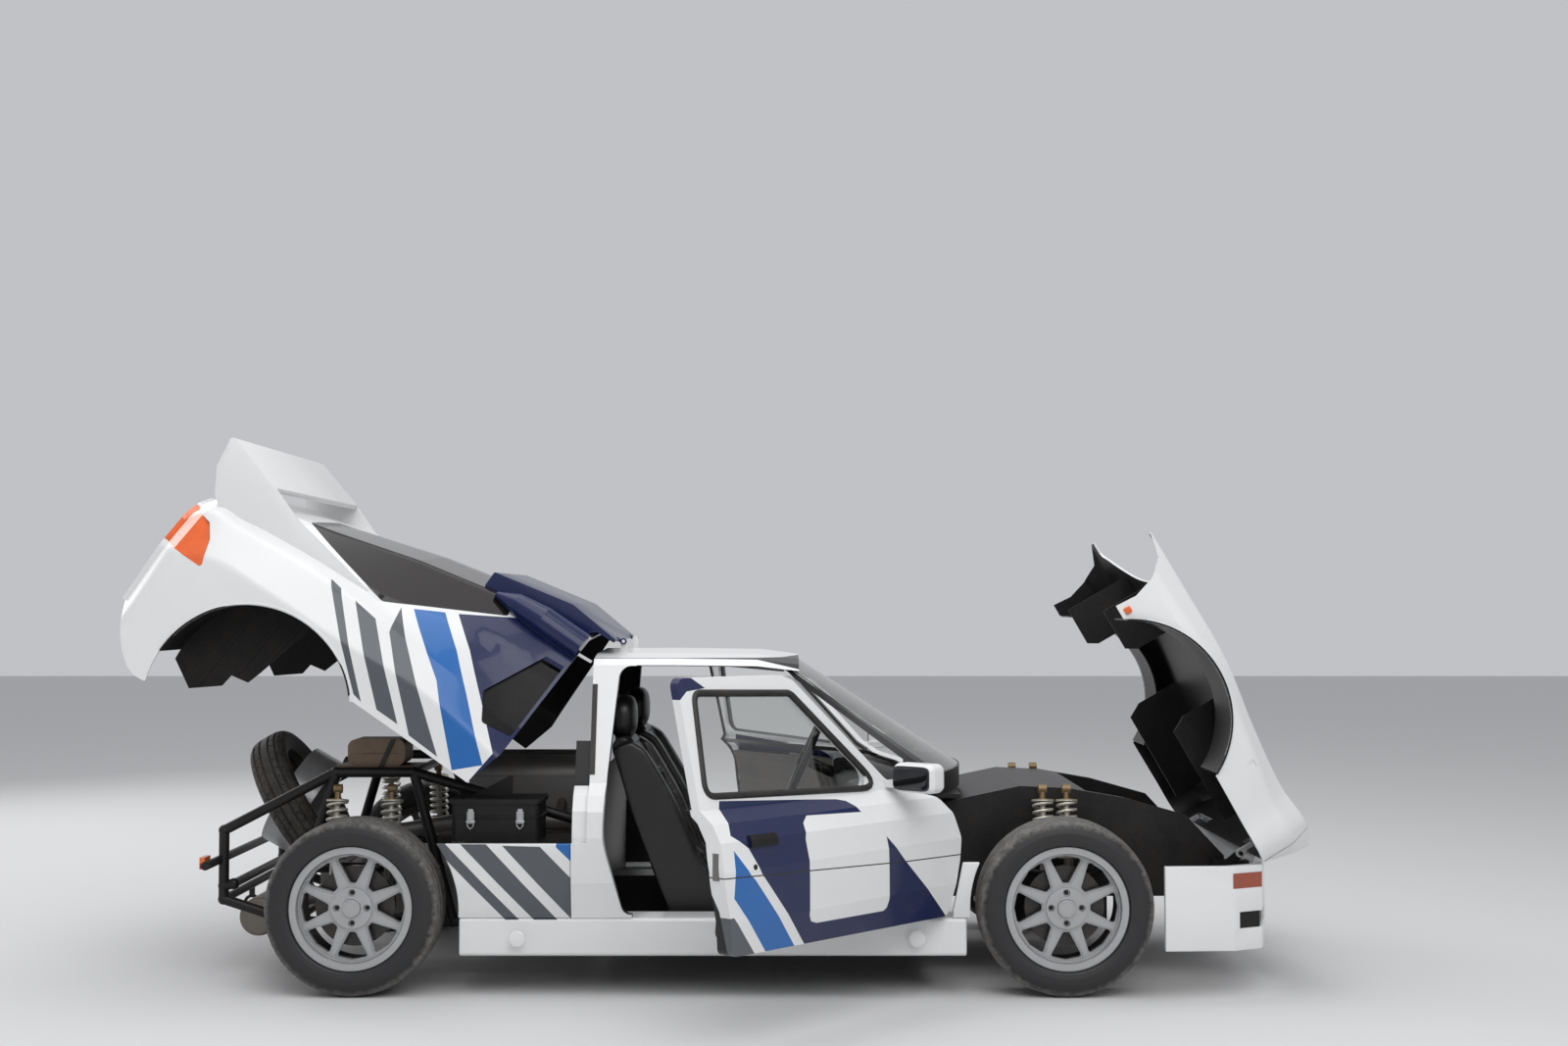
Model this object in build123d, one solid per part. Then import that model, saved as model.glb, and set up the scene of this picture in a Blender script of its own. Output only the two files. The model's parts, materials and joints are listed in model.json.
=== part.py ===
from build123d import *
import os
from math import cos, radians, sin

# Mid-engined rally coupe, stored with both clamshells and both doors open.
# Units are millimetres. +X is forward, +Y is the car's left, +Z is up.
# The origin is on the ground, in the centre plane, below the middle of the open car.
# Bodywork is drawn closed and then swung open about its own hinge.

# Axles and wheels
WHEELBASE = 2530.0
FRONT_AXLE_X = 1210.0
REAR_AXLE_X = FRONT_AXLE_X - WHEELBASE
FRONT_TRACK = 1502.0
REAR_TRACK = 1497.0
TYRE_RADIUS = 312.0
TYRE_WIDTH = 225.0
TYRE_WALL = 16.0
TREAD_DEPTH = 24.0
TREAD_GROOVE_DEPTH = 7.0
TREAD_GROOVE_WIDTH = 10.0
# Tyre profile: bead, flank, bulge, shoulder and crown, as drops from the tread or steps across
BEAD_IN = 15.0
NARROW_BEAD = 26.0
BEAD_CORNER = 3.0
BEAD_STEP = 7.0
FLANK_CORNER = 4.0
BULGE_DROP = 46.0
BULGE_CORNER = 30.0
SHOULDER = 22.0
CROWN_DROP = 6.0
CROWN_CORNER = 100.0
INNER_SHOULDER = 40.0
INNER_CORNER = 14.0
# Rim profile, spoke windows, hub disc (radius and thickness) and centre cap
RIM_LIP = 8.0
RIM_HUMP = 14.0
RIM_STEP = 2.0
RIM_TAPER = 30.0
WINDOW_DROP = 8.0
WINDOW_RISE = 4.0
WINDOW_CUT = 60.0
HUB_DISC = (72.0, 18.0)
HUB_DISC_RISE = 2.0
CAP_HEIGHT = 14.0
BOLT_RECESS_CUT = 24.0
TREAD_GROOVES = (-0.24, 0.0, 0.24)
RIM_SEAT_RADIUS = 203.0
RIM_FLANGE = 14.0
RIM_WIDTH = 196.0
RIM_WALL = 11.0
SPOKE_COUNT = 8
SPOKE_THICKNESS = 30.0
SPOKE_SETBACK = 34.0
SPOKE_EDGE = 24.0
WINDOW_INNER_RADIUS = 86.0
WINDOW_OUTER_RADIUS = 180.0
WINDOW_CORNER = 11.0
HUB_RADIUS = 64.0
CAP_RADIUS = 31.0
BOLT_COUNT = 4
BOLT_CIRCLE_RADIUS = 54.0
BOLT_RECESS_RADIUS = 13.0
BRAKE_RADIUS = 142.0
BRAKE_THICKNESS = 24.0
SPARE_RADIUS = 290.0
SPARE_WIDTH = 150.0
SPARE_LEAN = 30.0
SPARE_BEHIND_AXLE = 365.0
SPARE_CENTRE_Z = 612.0
SPARE_HUB_HOLE = 30.0
# Outer and inner radius of the spare wheel's rim, its width, and its web's thickness
SPARE_RIM = (202.0, 191.0, 120.0, 12.0)
WINDOW_BEVEL = 6.0

# Body panels and gaps
CLAM_WALL = 14.0
PANEL_GAP = 8.0
ARCH_LINER = 6.0
GLASS = 6.0
BODY_REACH = 930.0
FRONT_ARCH_RADIUS = 355.0
FRONT_ARCH_AHEAD = 15.0
FRONT_ARCH_Z = TYRE_RADIUS + 13.0
REAR_ARCH_RADIUS = 370.0
ARCH_INNER_Y = 590.0
ARCH_OUTER_Y = 868.0
LINER_WALL_Y = 470.0
FRONT_CLAM_BOTTOM = 486.0
REAR_EDGE_INNER_Y = 560.0
REAR_LINER_BOTTOM = 300.0
REAR_LINER_FRONT = 270.0
TIP_INNER_Y = 662.0

# Cabin, measured from the front axle where a name ends in X
CABIN_REAR_X = FRONT_AXLE_X - 1698.0
POST_FLANGE_X = REAR_AXLE_X + 776.0
POST_FLANGE_TOP = 890.0
POST_RECESS = 36.0
POST_FLANGE_THICKNESS = 16.0
PANEL_SEAM = 2.0
PILLAR_WIDTH = 62.0
POST_FRONT_X = FRONT_AXLE_X - 1540.0
BULKHEAD_X = FRONT_AXLE_X - 450.0
BULKHEAD_THICKNESS = 20.0
BULKHEAD_TOP = 690.0
SCUTTLE_Y = 570.0
SCREEN_BASE_X = FRONT_AXLE_X - 320.0
SCREEN_BASE_RADIUS = 1484.0
SCREEN_BASE_Y = 600.0
SCREEN_BASE_Z = 768.0
SCREEN_TOP_X = FRONT_AXLE_X - 942.0
SCREEN_TOP_RADIUS = 2415.0
SCREEN_TOP_Y = 530.0
SCREEN_TOP_Z = 1170.0
SCREEN_GAP = 22.0
ROOF_THICKNESS = 28.0
SILL_TOP = 275.0
SILL_BOTTOM = 141.0
SILL_INNER_Y = 640.0
SILL_OUTER_Y = 812.0
SIDE_PANEL_DEPTH = 26.0
SIDE_PANEL_TOP = 540.0
FLOOR_BOTTOM = 146.0
FLOOR_THICKNESS = 16.0
TUNNEL_HALF = 95.0
TUNNEL_TOP = 330.0
WAIST_Z = 745.0
WALL_BACK = 6.0
REAR_WALL_TOP = 770.0
REAR_WINDOW_Y = 520.0
REAR_WINDOW_TOP = 1150.0
SILL_CORNER = 14.0
FRONT_PANEL_TOP = 474.0
SCUTTLE_DEPTH = 64.0
SHELF_THICKNESS = 14.0
# Feet and heads of the screen pillars: from the front axle, then (y, z) of their corners
PILLAR_FOOT_X = -452.0
PILLAR_FOOT = ((590, 738), (649, 738), (645, 766), (590, 786))
PILLAR_HEAD_X = -1000.0
PILLAR_HEAD = ((530, 1141), (585, 1141), (566, 1164), (520, 1158))

# Hinges, in the side view as X and Z or in plan as X and Y
FRONT_HINGE_X = FRONT_AXLE_X + 690.0
FRONT_HINGE_Z = 465.0
FRONT_HINGE_Y = 470.0
FRONT_OPEN_ANGLE = 60.0
REAR_HINGE_X = FRONT_AXLE_X - 1610.0
REAR_HINGE_Z = 1245.0
REAR_HINGE_Y = 300.0
REAR_OPEN_ANGLE = 35.5
DOOR_HINGE_X = FRONT_AXLE_X - 398.0
DOOR_HINGE_Y = 830.0
DOOR_OPEN_ANGLE = 50.0
HINGE_PIN = 6.0
HINGE_EYE = 12.0
HINGE_PLATE = 8.0
EYE_TAIL = 30.0
LUG_FOOT_Z = 1196.0
REAR_PIN_LENGTH = 30.0
FRONT_PIN = 8.0
FRONT_PIN_LENGTH = 36.0
HINGE_ARM_BACK = 16.0
HINGE_ARM_AHEAD = 6.0
HINGE_ARM_UP = 48.0
PIN_CLEARANCE = 0.3

# Doors, measured from the skin inwards
DOOR_SHELL = 62.0
DOOR_TRIM = 26.0
WINDOW_FRAME = 34.0
WINDOW_GLASS_DEPTH = 12.0

# Suspension
STEER_AXIS_INSET = 30.0
UPRIGHT_INSET = 95.0
UPRIGHT_WIDTH = 33.0
UPRIGHT_HALF = 40.0
UPRIGHT_DROP = 130.0
UPRIGHT_LIFT = 120.0
HUB_GAP = 1.5
HUB_FLANGE = 40.0
SHAFT_RADIUS = 20.0
SHAFT_INNER_Y = 120.0
ARM_RADIUS = 13.0
ARM_OVERRUN = 8.0
BALL_RADIUS = 14.0
BALL_HALF = 15.0
BALL_PIN = 7.0
BALL_GAP = 2.5
LOWER_ARM_DROP = 105.0
UPPER_ARM_LIFT = 95.0
COIL_FOOT_INSET = 151.0
COIL_TOP_Z = 704.0
DAMPER_RADIUS = 18.0
DAMPER_SHAFT = 11.0
DAMPER_EYE = 17.0
DAMPER_EYE_WIDTH = 30.0
SPRING_RADIUS = 34.0
SPRING_WIRE = 5.5
SPRING_PITCH = 26.0
SPRING_TURNS = 8
SPRING_SEAT = 41.0
SPRING_SEAT_THICKNESS = 8.0
SPRING_TOP_DROP = 44.0
COIL_BOX_GAP = 24.0

# Cabin fittings
SEAT_Y = 350.0
SEAT_WIDTH = 440.0
SEAT_BOLSTER = 88.0
STEERING_RADIUS = 165.0
STEERING_GRIP = 14.0
STEERING_SPOKES = (90, 210, 330)
BOSS_RADIUS = 32.0
BOSS_LENGTH = 40.0
COLUMN_LENGTH = 200.0
COLUMN_GAP = 24.0
COLUMN_RADIUS = 24.0
DASH_HALF = 600.0
BINNACLE_HALF = 150.0
COLUMN_RAKE = 24.0
STEERING_CENTRE = (FRONT_AXLE_X - 920.0, 350.0, 745.0)
COLUMN_DIRECTION = (-cos(radians(COLUMN_RAKE)), 0, sin(radians(COLUMN_RAKE)))

# Front box and bumper
BOX_HALF_WIDTH = 440.0
BAY_HALF_WIDTH = 410.0
BUMPER_BOTTOM = 166.0
BUMPER_TOP = FRONT_HINGE_Z - 3.0
BUMPER_WALL = 28.0
GRILLE_BARS = 4

# Engine bay
FRAME_Y = 450.0
FRAME_TUBE = 19.0
FRAME_CROSS_TUBE = 16.0
FRAME_JOINT = 21.0
TOW_EYE_RADIUS = 20.0
TOW_EYE_RING = 12.0
TOW_EYE_WIDTH = 12.0
TOW_SLOT_CLEARANCE = 3.0
TOW_SLOT_HALF_WIDTH = TOW_EYE_WIDTH / 2 + TOW_SLOT_CLEARANCE
TOW_SLOT_HALF_HEIGHT = TOW_EYE_RADIUS + TOW_EYE_RING + TOW_SLOT_CLEARANCE
TOW_SLOT_DEPTH = 90.0

# Inner faces of the skins: how far their top edges move in as a share of the wall, and the least corner
TOP_INSET_SHARE = 0.3
LEAST_CORNER = 4.0
# Extents of cuts
SKIN_INNER_Y = 480.0
CUT_MARGIN = 200.0
CUT_TOP = 1400.0
COWL_CUT_BACK = 900.0
COWL_CUT_HEIGHTS = (400.0, 1000.0)
DOOR_CUT_BACK = 700.0
DOOR_CUT_TOP = 900.0
DOOR_SPAN = (-1700.0, -300.0)
LINER_TOP = 800.0
REPEATER_DEPTH = 60.0
# Seams and overlaps of the cabin's small joints
ROOF_RAIL = 40.0
MIRROR_FOOT_SINK = 10.0
SILL_OVERRUN = 3.0
SIDE_PANEL_BACK = 200.0
FRONT_PANEL_X = (-400.0, -290.0)
ARCH_PANEL_GAP = 6.0
LUG_THICKNESS = 10.0
FRONT_ARM_Y = (FRONT_HINGE_Y + 14.0, FRONT_HINGE_Y + 24.0)
REAR_ARM_Y = REAR_HINGE_Y + 12.0
# Corners of the boxes in the engine bay
SILENCER_CORNER = 14.0
AIR_BOX_CORNER = 24.0
HEAT_SHIELD_CORNER = 30.0
# Steering wheel: how far the boss stands forward, and a spoke's width and thickness
BOSS_RISE = 4.0
STEERING_SPOKE = (26.0, 8.0)

COIL_TOP_Y = BOX_HALF_WIDTH + SPRING_SEAT + COIL_BOX_GAP
BRAKE_INNER = 10.0

RIGHT = -1
LEFT = 1
SIDES = (RIGHT, LEFT)
END = {RIGHT: "right", LEFT: "left"}

# Front clamshell sections: ahead of the front axle, then (y, z) of the bonnet centre,
# the bonnet's edge, the wing's crest, its shoulder, its side and its bottom edge.
FRONT_RADII = (900, 160, 60, 40, 60)
FRONT_SECTIONS = (
    (-512, (0, 786), (380, 772), (600, 756), (715, 744), (822, 655), (838, 480)),
    (-275, (0, 776), (400, 766), (610, 760), (735, 742), (838, 662), (846, 480)),
    (15, (0, 750), (400, 744), (610, 757), (760, 736), (866, 668), (872, 480)),
    (270, (0, 708), (400, 706), (600, 722), (745, 702), (860, 645), (866, 480)),
    (520, (0, 664), (400, 668), (580, 701), (700, 688), (825, 610), (836, 480)),
    (690, (0, 640), (400, 650), (560, 708), (670, 702), (780, 610), (796, 480)),
)
NOSE_TIP = (768, (0, 622), (400, 634), (520, 696), (600, 686), (660, 600), (664, 480))
# Cut under the nose, from the hinge as (x, z). Its sloping edge is the lamp face.
NOSE_UNDERCUT = ((0, 25), (8, 25), (86, 235), (400, 235), (400, -100), (0, -100))
# Folded panels inside each wing, behind and ahead of the coil-overs: ahead of the front axle, height
LINER_WALLS = (
    ((-150, 900), (-335, 900), (-335, 476), (-300, 466), (-200, 436), (-150, 520)),
    ((150, 900), (560, 900), (560, 470), (440, 400), (330, 420), (252, 357), (150, 540)),
)
# On the nose face: nearest and farthest |y|, then height above the hinge
HEADLAMP = (330.0, 590.0, 52.0, 168.0)
NOSE_GRILLE = (0.0, 290.0, 62.0, 158.0)
NOSE_GRILLE_BARS = (-232, -174, -116, -58, 0, 58, 116, 174, 232)
NOSE_BAR = 8.0
LAMP_DEPTH = 26.0
GRILLE_DEPTH = 12.0
REPEATER = (352.0, 378.0, 600.0, 626.0)

# Rear clamshell sections: behind the rear axle is negative. Columns are the roof or deck
# centre, its edge, the top of the hip, its shoulder, its side and the bottom edge.
REAR_RADII = (1500, 50, 40, 60, 60)
REAR_SECTIONS = (
    (824, (0, 1222), (520, 1192), (632, 1010), (735, 800), (822, 680), (836, 300)),
    (470, (0, 1172), (505, 1136), (640, 980), (776, 826), (842, 720), (850, 300)),
    (140, (0, 1090), (505, 1060), (680, 900), (800, 834), (868, 700), (874, 300)),
    (-180, (0, 985), (520, 965), (680, 872), (800, 826), (870, 690), (876, 260)),
    (-430, (0, 905), (530, 898), (660, 850), (770, 800), (842, 660), (846, 182)),
    (-560, (0, 865), (530, 860), (640, 836), (730, 780), (790, 600), (788, 286)),
    (-618, (0, 800), (500, 796), (600, 770), (670, 720), (710, 580), (690, 340)),
)
# Rear clamshell fittings, ahead of the rear axle, in the closed side view as (x, z, radius)
FIN_OUTLINE = (
    (-650, 1052, 12),
    (-629, 929, 12),
    (-575, 842, 20),
    (-520, 800, 10),
    (262, 800, 10),
    (271, 834, 6),
    (147, 870, 40),
    (-276, 940, 60),
    (-420, 990, 60),
)
FIN_THICKNESS = 24.0
FIN_Y = 700.0
WING = ((-650, 1052, 8), (-632, 1016, 8), (-395, 966, 8), (-405, 990, 8))
# Front edge of the side of the clamshell, down to its lower edge
REAR_FRONT_EDGE = ((900, 200), (900, 1300), (825, 1300), (825, 700), (785, 548), (200, 548), (200, 200))
CANOPY_GLASS = ((-288, 944, 12), (147, 880, 30), (540, 1092, 14), (462, 1140, 14), (462, 1320, 8),
                (-288, 1320, 8))
SCOOP_TOP = ((385, 1120, 6), (385, 1184, 6), (694, 1256, 60), (902, 1241, 3), (902, 1228, 3), (826, 1224, 4),
             (700, 1100, 4))
SCOOP_DUCT = ((480, 1166, 4), (694, 1244, 40), (960, 1229, 4), (960, 1160, 4), (560, 1100, 4))
SCOOP_Y = 470.0
SCOOP_INNER_Y = 60.0
SCOOP_WALL = 12.0
# Scoop cheeks: ahead of the rear axle, half width, half height, centre y, centre z
CHEEK_SECTIONS = ((445, 14, 12, 528, 1126), (520, 44, 40, 536, 1140), (640, 66, 54, 542, 1148),
                  (818, 70, 56, 546, 1150))
CHEEK_WALL = 8.0
SIDE_INTAKE = ((741, 1063, 20), (635, 835, 20), (700, 745, 20), (812, 760, 10), (812, 1092, 10))
INTAKE_DEPTH = 20.0
INTAKE_WALL = 6.0
TAIL_LAMP = ((-660, 764, 8), (-515, 757, 16), (-470, 712, 16), (-425, 618, 14), (-660, 604, 8))
TAIL_INNER_Y = 600.0

# Side of the cabin and doors: height, then half width of the skin there
SIDE_LINE = ((270, 808), (400, 834), (500, 840), (560, 842), (650, 826), (705, 790), (745, 735), (1163, 597))
# Roof: from the front axle, lift, width share, then the half section as (y, z)
ROOF_STATIONS = ((-1698, 0.0, 1.0), (-1400, 0.0, 1.0), (-1100, -4.0, 0.995), (-945, -22.0, 0.98))
ROOF_HALF = ((597, 1163), (570, 1186), (430, 1203), (0, 1212))
# Door outline: ahead of the front axle, height, corner radius
DOOR_OUTLINE = (
    (-1563, 292, 30),
    (-412, 286, 30),
    (-374, 480, 100),
    (-369, 561, 100),
    (-394, 642, 100),
    (-440, 705, 60),
    (-570, 738, 20),
    (-662, 782, 40),
    (-1024, 1130, 60),
    (-1076, 1148, 20),
    (-1593, 1153, 40),
    (-1628, 767, 300),
    (-1638, 553, 300),
)
DOOR_WINDOW = ((-700, 752, 40), (-1054, 1088, 40), (-1530, 1104, 40), (-1588, 784, 40))
# Wing edge ahead of the door: ahead of the front axle, height
DOOR_SHUT_LINE = ((-374, 440), (-366, 480), (-361, 561), (-386, 642), (-432, 709), (-520, 741))
TRIM_OUTLINE = ((-1560, 340, 30), (-450, 330, 30), (-470, 690, 30), (-1590, 690, 30))
# Mirror: its foot and its head as x0, x1 ahead of the front axle, |y| from and to, z from and to
MIRROR_FOOT = (-672, -622, 722, 790, 752, 776)
MIRROR_HEAD = (-712, -622, 786, 960, 742, 842)
MIRROR_CORNER = 26.0
HANDLE = (-1500, -1370, 628, 664, 10)

# Seat in the side view, ahead of the front axle: x, z and corner radius
SEAT_CORE = (
    (-1070, 300, 40),
    (-1120, 345, 30),
    (-1290, 330, 20),
    (-1440, 640, 200),
    (-1560, 900, 20),
    (-1580, 930, 12),
    (-1628, 930, 20),
    (-1650, 880, 40),
    (-1560, 600, 200),
    (-1400, 176, 40),
    (-1070, 176, 40),
)
SEAT_WING = (
    (-1085, 330, 40),
    (-1130, 392, 30),
    (-1262, 388, 30),
    (-1322, 470, 60),
    (-1400, 660, 120),
    (-1520, 870, 60),
    (-1575, 905, 16),
    (-1640, 880, 40),
    (-1556, 600, 200),
    (-1400, 196, 40),
    (-1085, 196, 40),
)
# Headrest: middle x, z from and to, depth, width, corner, then its posts
HEADREST = (-1600, 946, 1046, 84, 230, 34)
HEADREST_POST = (7.0, 62.0, 60.0, 10.0)
SEAT_FEET = (-1360, -1100, 20.0, 240.0)
DASH_SIDE = ((-800, 560, 20), (-812, 680, 40), (-760, 722, 30), (-640, 726, 60), (-530, 690, 20),
             (-530, 520, 20), (-700, 500, 30))
BINNACLE = ((-800, 700, 10), (-800, 762, 14), (-700, 772, 20), (-640, 720, 10))

# Front box, ahead of the front axle: its top line, and the open bay inside it
BOX_SIDE = ((-430, 300), (-430, 640), (-300, 670), (-120, 708), (60, 700), (270, 664), (500, 600),
            (640, 450), (640, 300))
BAY = (130.0, 600.0, 330.0)
KEEL = (-225.0, 225.0, 300.0, 178.0, 300.0)
HINGE_BEAM = (590.0, 640.0, 392.0, 440.0)
HINGE_LUG = ((596, 392), (640, 392), (704, 452), (704, 465), (690, 479), (676, 470), (640, 440), (596, 440))
BUMPER_STAY = (380.0, 430.0, 380.0, 430.0)
# Bumper in plan: ahead of the front axle, half width
BUMPER_PLAN = ((343, 864), (590, 850), (700, 790), (762, 560), (775, 0))
# Openings in the bumper: the middle one's half width and heights, the others' x and height ranges
BUMPER_INTAKE = (650.0, 850.0, 420.0, 222.0, 352.0)
BUMPER_BAR = 8.0
INDICATOR = (585.0, 800.0, 384.0, 436.0, 560.0)
SIDE_DUCT = (610.0, 800.0, 242.0, 300.0, 560.0)

# Axle, half track, outer end of the arms inside that, |y| of the lower and upper arms' inner ends,
# half spread of the lower and upper arms, middle of the coil-over pair, half their spacing
SUSPENSION = (
    (FRONT_AXLE_X, FRONT_TRACK / 2, STEER_AXIS_INSET, 300.0, BOX_HALF_WIDTH, 180.0, 190.0, 0.0, 44.0),
    (REAR_AXLE_X, REAR_TRACK / 2, UPRIGHT_INSET, FRAME_Y, FRAME_Y, 180.0, 36.0, -20.0, 100.0),
)
# Rear frame tubes on each side: from the rear axle and height at each end
FRAME_SIDE = (
    ((-555, 545), (-140, 760)),
    ((-140, 760), (150, 760)),
    ((150, 760), (838, 560)),
    ((-555, 290), (-555, 545)),
    ((-555, 290), (-300, 207)),
    ((-300, 207), (838, 207)),
    ((-140, 760), (-300, 207)),
    ((150, 760), (300, 207)),
    ((-243, 407), (247, 407)),
    ((-555, 340), (-518, 347)),
)
# Cross tubes: from the rear axle, height and half length
FRAME_CROSS = ((-140, 760, 450), (150, 760, 450), (-555, 290, 450), (-300, 207, 450), (-518, 347, 450),
               (-572, 436, 640))
SPARE_PAD_Y = 120.0
SPARE_PAD = (-140, 760, 14.0)

# Engine and gearbox blocks: from the rear axle x0, x1, |y|, z from and to
ENGINE_BLOCKS = ((250, 780, 190, 180, 560), (310, 720, 150, 560, 720), (-270, 250, 120, 200, 430))
BELL_HOUSING = (180, 260, 156, 352)
# Radius and height of the cross drum
DIFF = (130, 312)
# Round parts along the car: x0, x1, y, z, radius
ENGINE_DRUMS = ((310, 720, -72, 720, 62), (310, 720, 72, 720, 62), (340, 700, 262, 742, 52),
                (300, 740, -262, 560, 34))
RUNNER_X = (370.0, 470.0, 570.0, 670.0)
RUNNER_RADIUS = 20.0
INTAKE_RUNNER = ((262, 742), (120, 640))
EXHAUST_RUNNER = ((-262, 560), (-140, 620))
EXHAUST_PIPE = ((310, -262, 560), (60, -250, 520), (-250, -220, 272), (-458, -220, 238))
PIPE_RADIUS = 30.0
SILENCER = (-458, 205, 330, 72)
# Boxes in the bay: x0, x1 from the rear axle, y0, y1, z from and to
AIR_BOX = (330, 650, -700, -490, 532, 668)
AIR_BOX_LID = (322, 658, -708, -482, 668, 684)
AIR_BOX_BRACKET = (470, 510, -486, -440, 630, 680)
HEAT_SHIELD = (-104, 110, -420, -250, 782, 880)
HEAT_SHIELD_FOOT = (-150, 160, -420, -250, 776, 782)
LEDGE = (380, 838, 431, 818, 524, 532)
CHASSIS_LAMP = (-594, -575, 560, 636, 424, 466)
# Tow eyes: x, y, z, then the strap's far end in x and z and its half height
FRONT_TOW = (FRONT_AXLE_X + 788, -300.0, 287.0)
FRONT_TOW_STRAP = (FRONT_AXLE_X + 640, 6.0)
REAR_TOW = (REAR_AXLE_X - 566, 0.0, 212.0)
REAR_TOW_STRAP = (290.0, 10.0)

os.makedirs("parts", exist_ok=True)


def save(name, *solids):
    """Write one node. Several solids stay separate solids in it."""
    shape = solids[0] if len(solids) == 1 else Compound(children=list(solids))
    export_step(shape, f"parts/{name}.step")


def block(x0, x1, y0, y1, z0, z1):
    """Box between two corners."""
    size = Box(x1 - x0, y1 - y0, z1 - z0)
    return size.translate(((x0 + x1) / 2, (y0 + y1) / 2, (z0 + z1) / 2))


def span(side, near, far):
    """Range of y on one side of the car, from two distances off the centre plane."""
    return sorted((side * near, side * far))


def side_plate(points, y0, y1):
    """Outline of (x, z) points in the side view, made solid from y0 to y1."""
    outline = Polyline(*[(x, y0, z) for x, z in points], close=True)
    return extrude(make_face(outline), amount=y1 - y0, dir=(0, 1, 0))


def rounded_side_plate(rows, y0, y1):
    """The same from rows of (x, z, corner radius)."""
    points = [(x, y0, z) for x, z, _ in rows]
    outline = FilletPolyline(*points, radius=[r for _, _, r in rows], close=True)
    return extrude(make_face(outline), amount=y1 - y0, dir=(0, 1, 0))


def cross_plate(points, x0, x1):
    """Outline of (y, z) points seen from behind, made solid from x0 to x1."""
    outline = Polyline(*[(x0, y, z) for y, z in points], close=True)
    return extrude(make_face(outline), amount=x1 - x0, dir=(1, 0, 0))


def plan_plate(points, z0, z1):
    """Outline of (x, y) points seen from above, made solid from z0 to z1."""
    outline = Polyline(*[(x, y, z0) for x, y in points], close=True)
    return extrude(make_face(outline), amount=z1 - z0, dir=(0, 0, 1))


def rod(start, end, radius):
    """Round bar between two points."""
    a = Vector(*start)
    b = Vector(*end)
    return Solid.make_cylinder(radius, (b - a).length, Plane(a, z_dir=b - a))


def cross_drum(x, z, radius, y0, y1):
    """Cylinder with its axis across the car."""
    return rod((x, y0, z), (x, y1, z), radius)


def placed(rows, axle):
    """Rows that start with a distance ahead of an axle, moved to the car's x."""
    return [(axle + row[0],) + tuple(row[1:]) for row in rows]


def mirrored(shape):
    """The same piece on the other side of the centre plane."""
    return mirror(shape, about=Plane.XZ)


def on_side(shape, side):
    """A right-hand piece, mirrored when the left one is wanted."""
    return mirrored(shape) if side == LEFT else shape


def swung(shape, x, z, angle):
    """Turn a piece about a hinge line across the car, nose-down for a positive angle."""
    return shape.rotate(Axis((x, 0, z), (0, 1, 0)), angle)


def front_open(shape):
    """Front clamshell piece, from closed to open."""
    return swung(shape, FRONT_HINGE_X, FRONT_HINGE_Z, FRONT_OPEN_ANGLE)


def rear_open(shape):
    """Rear clamshell piece, from closed to open."""
    return swung(shape, REAR_HINGE_X, REAR_HINGE_Z, REAR_OPEN_ANGLE)


def door_open(shape):
    """Right door piece, from closed to open."""
    return shape.rotate(Axis((DOOR_HINGE_X, -DOOR_HINGE_Y, 0), (0, 0, 1)), DOOR_OPEN_ANGLE)


def fuse(first, *others):
    """One solid from touching pieces."""
    result = first
    for other in others:
        result = result + other
    return result


def inset_rows(half, wall):
    """Half outline of a panel's inner face, from the rows of its outer face."""
    inner = []
    for number, (y, z) in enumerate(half):
        lower_part = number >= len(half) - 2
        drop = wall * 0.5 if lower_part else wall
        inset = wall if lower_part else wall * TOP_INSET_SHARE
        inset = 0 if number == 0 else inset
        inner.append((y - inset, z if number == len(half) - 1 else z - drop))
    return inner


def hoop(x, half, radii):
    """Rounded line at x over both sides of the car, from rows of (y, z) for one half."""
    left = [(x, y, z) for y, z in reversed(half)]
    right = [(x, -y, z) for y, z in half[1:]]
    both = list(reversed(radii[1:])) + [radii[0]] + list(radii[1:])
    return FilletPolyline(*(left + right), radius=both)


def band(x, half, radii, wall):
    """Face at x between a hoop and the hoop a wall inside it."""
    outer = hoop(x, half, radii)
    inner = hoop(x, inset_rows(half, wall), [max(r - wall, LEAST_CORNER) for r in radii])
    foot_left = Line(outer @ 0, inner @ 0)
    foot_right = Line(outer @ 1, inner @ 1)
    return make_face(Wire([*outer.edges(), *foot_left.edges(), *inner.edges(), *foot_right.edges()]))


def full(x, half, radii, wall=0.0):
    """Face at x inside the hoop, or inside its inner face, closed straight across its bottom."""
    rows = inset_rows(half, wall) if wall else half
    outline = hoop(x, rows, [max(r - wall, LEAST_CORNER) for r in radii] if wall else radii)
    foot = Line(outline @ 1, outline @ 0)
    return make_face(Wire([*outline.edges(), *foot.edges()]))


def lofted_bands(axle, sections, radii, wall):
    """Hollow shell through all the sections."""
    return loft([band(axle + row[0], row[1:], radii, wall) for row in sections], ruled=True)


def lofted_full(axle, sections, radii, wall=0.0):
    """Solid through all the sections."""
    return loft([full(axle + row[0], row[1:], radii, wall) for row in sections], ruled=True)


def skin_y(z):
    """Half width of the cabin's skin at a height."""
    for (z0, y0), (z1, y1) in zip(SIDE_LINE, SIDE_LINE[1:]):
        if z <= z1:
            return y0 + (y1 - y0) * (z - z0) / (z1 - z0)
    return SIDE_LINE[-1][1]


def skin_layer(outer, inner, z0, z1, x0, x1):
    """Right-hand slab that follows the cabin's skin between two depths below it."""
    heights = [z0] + [z for z, _ in SIDE_LINE if z0 < z < z1] + [z1]
    outside = [(-(skin_y(z) - outer), z) for z in heights]
    inside = [(-(skin_y(z) - inner), z) for z in reversed(heights)]
    return cross_plate(outside + inside, x0, x1)


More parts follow.
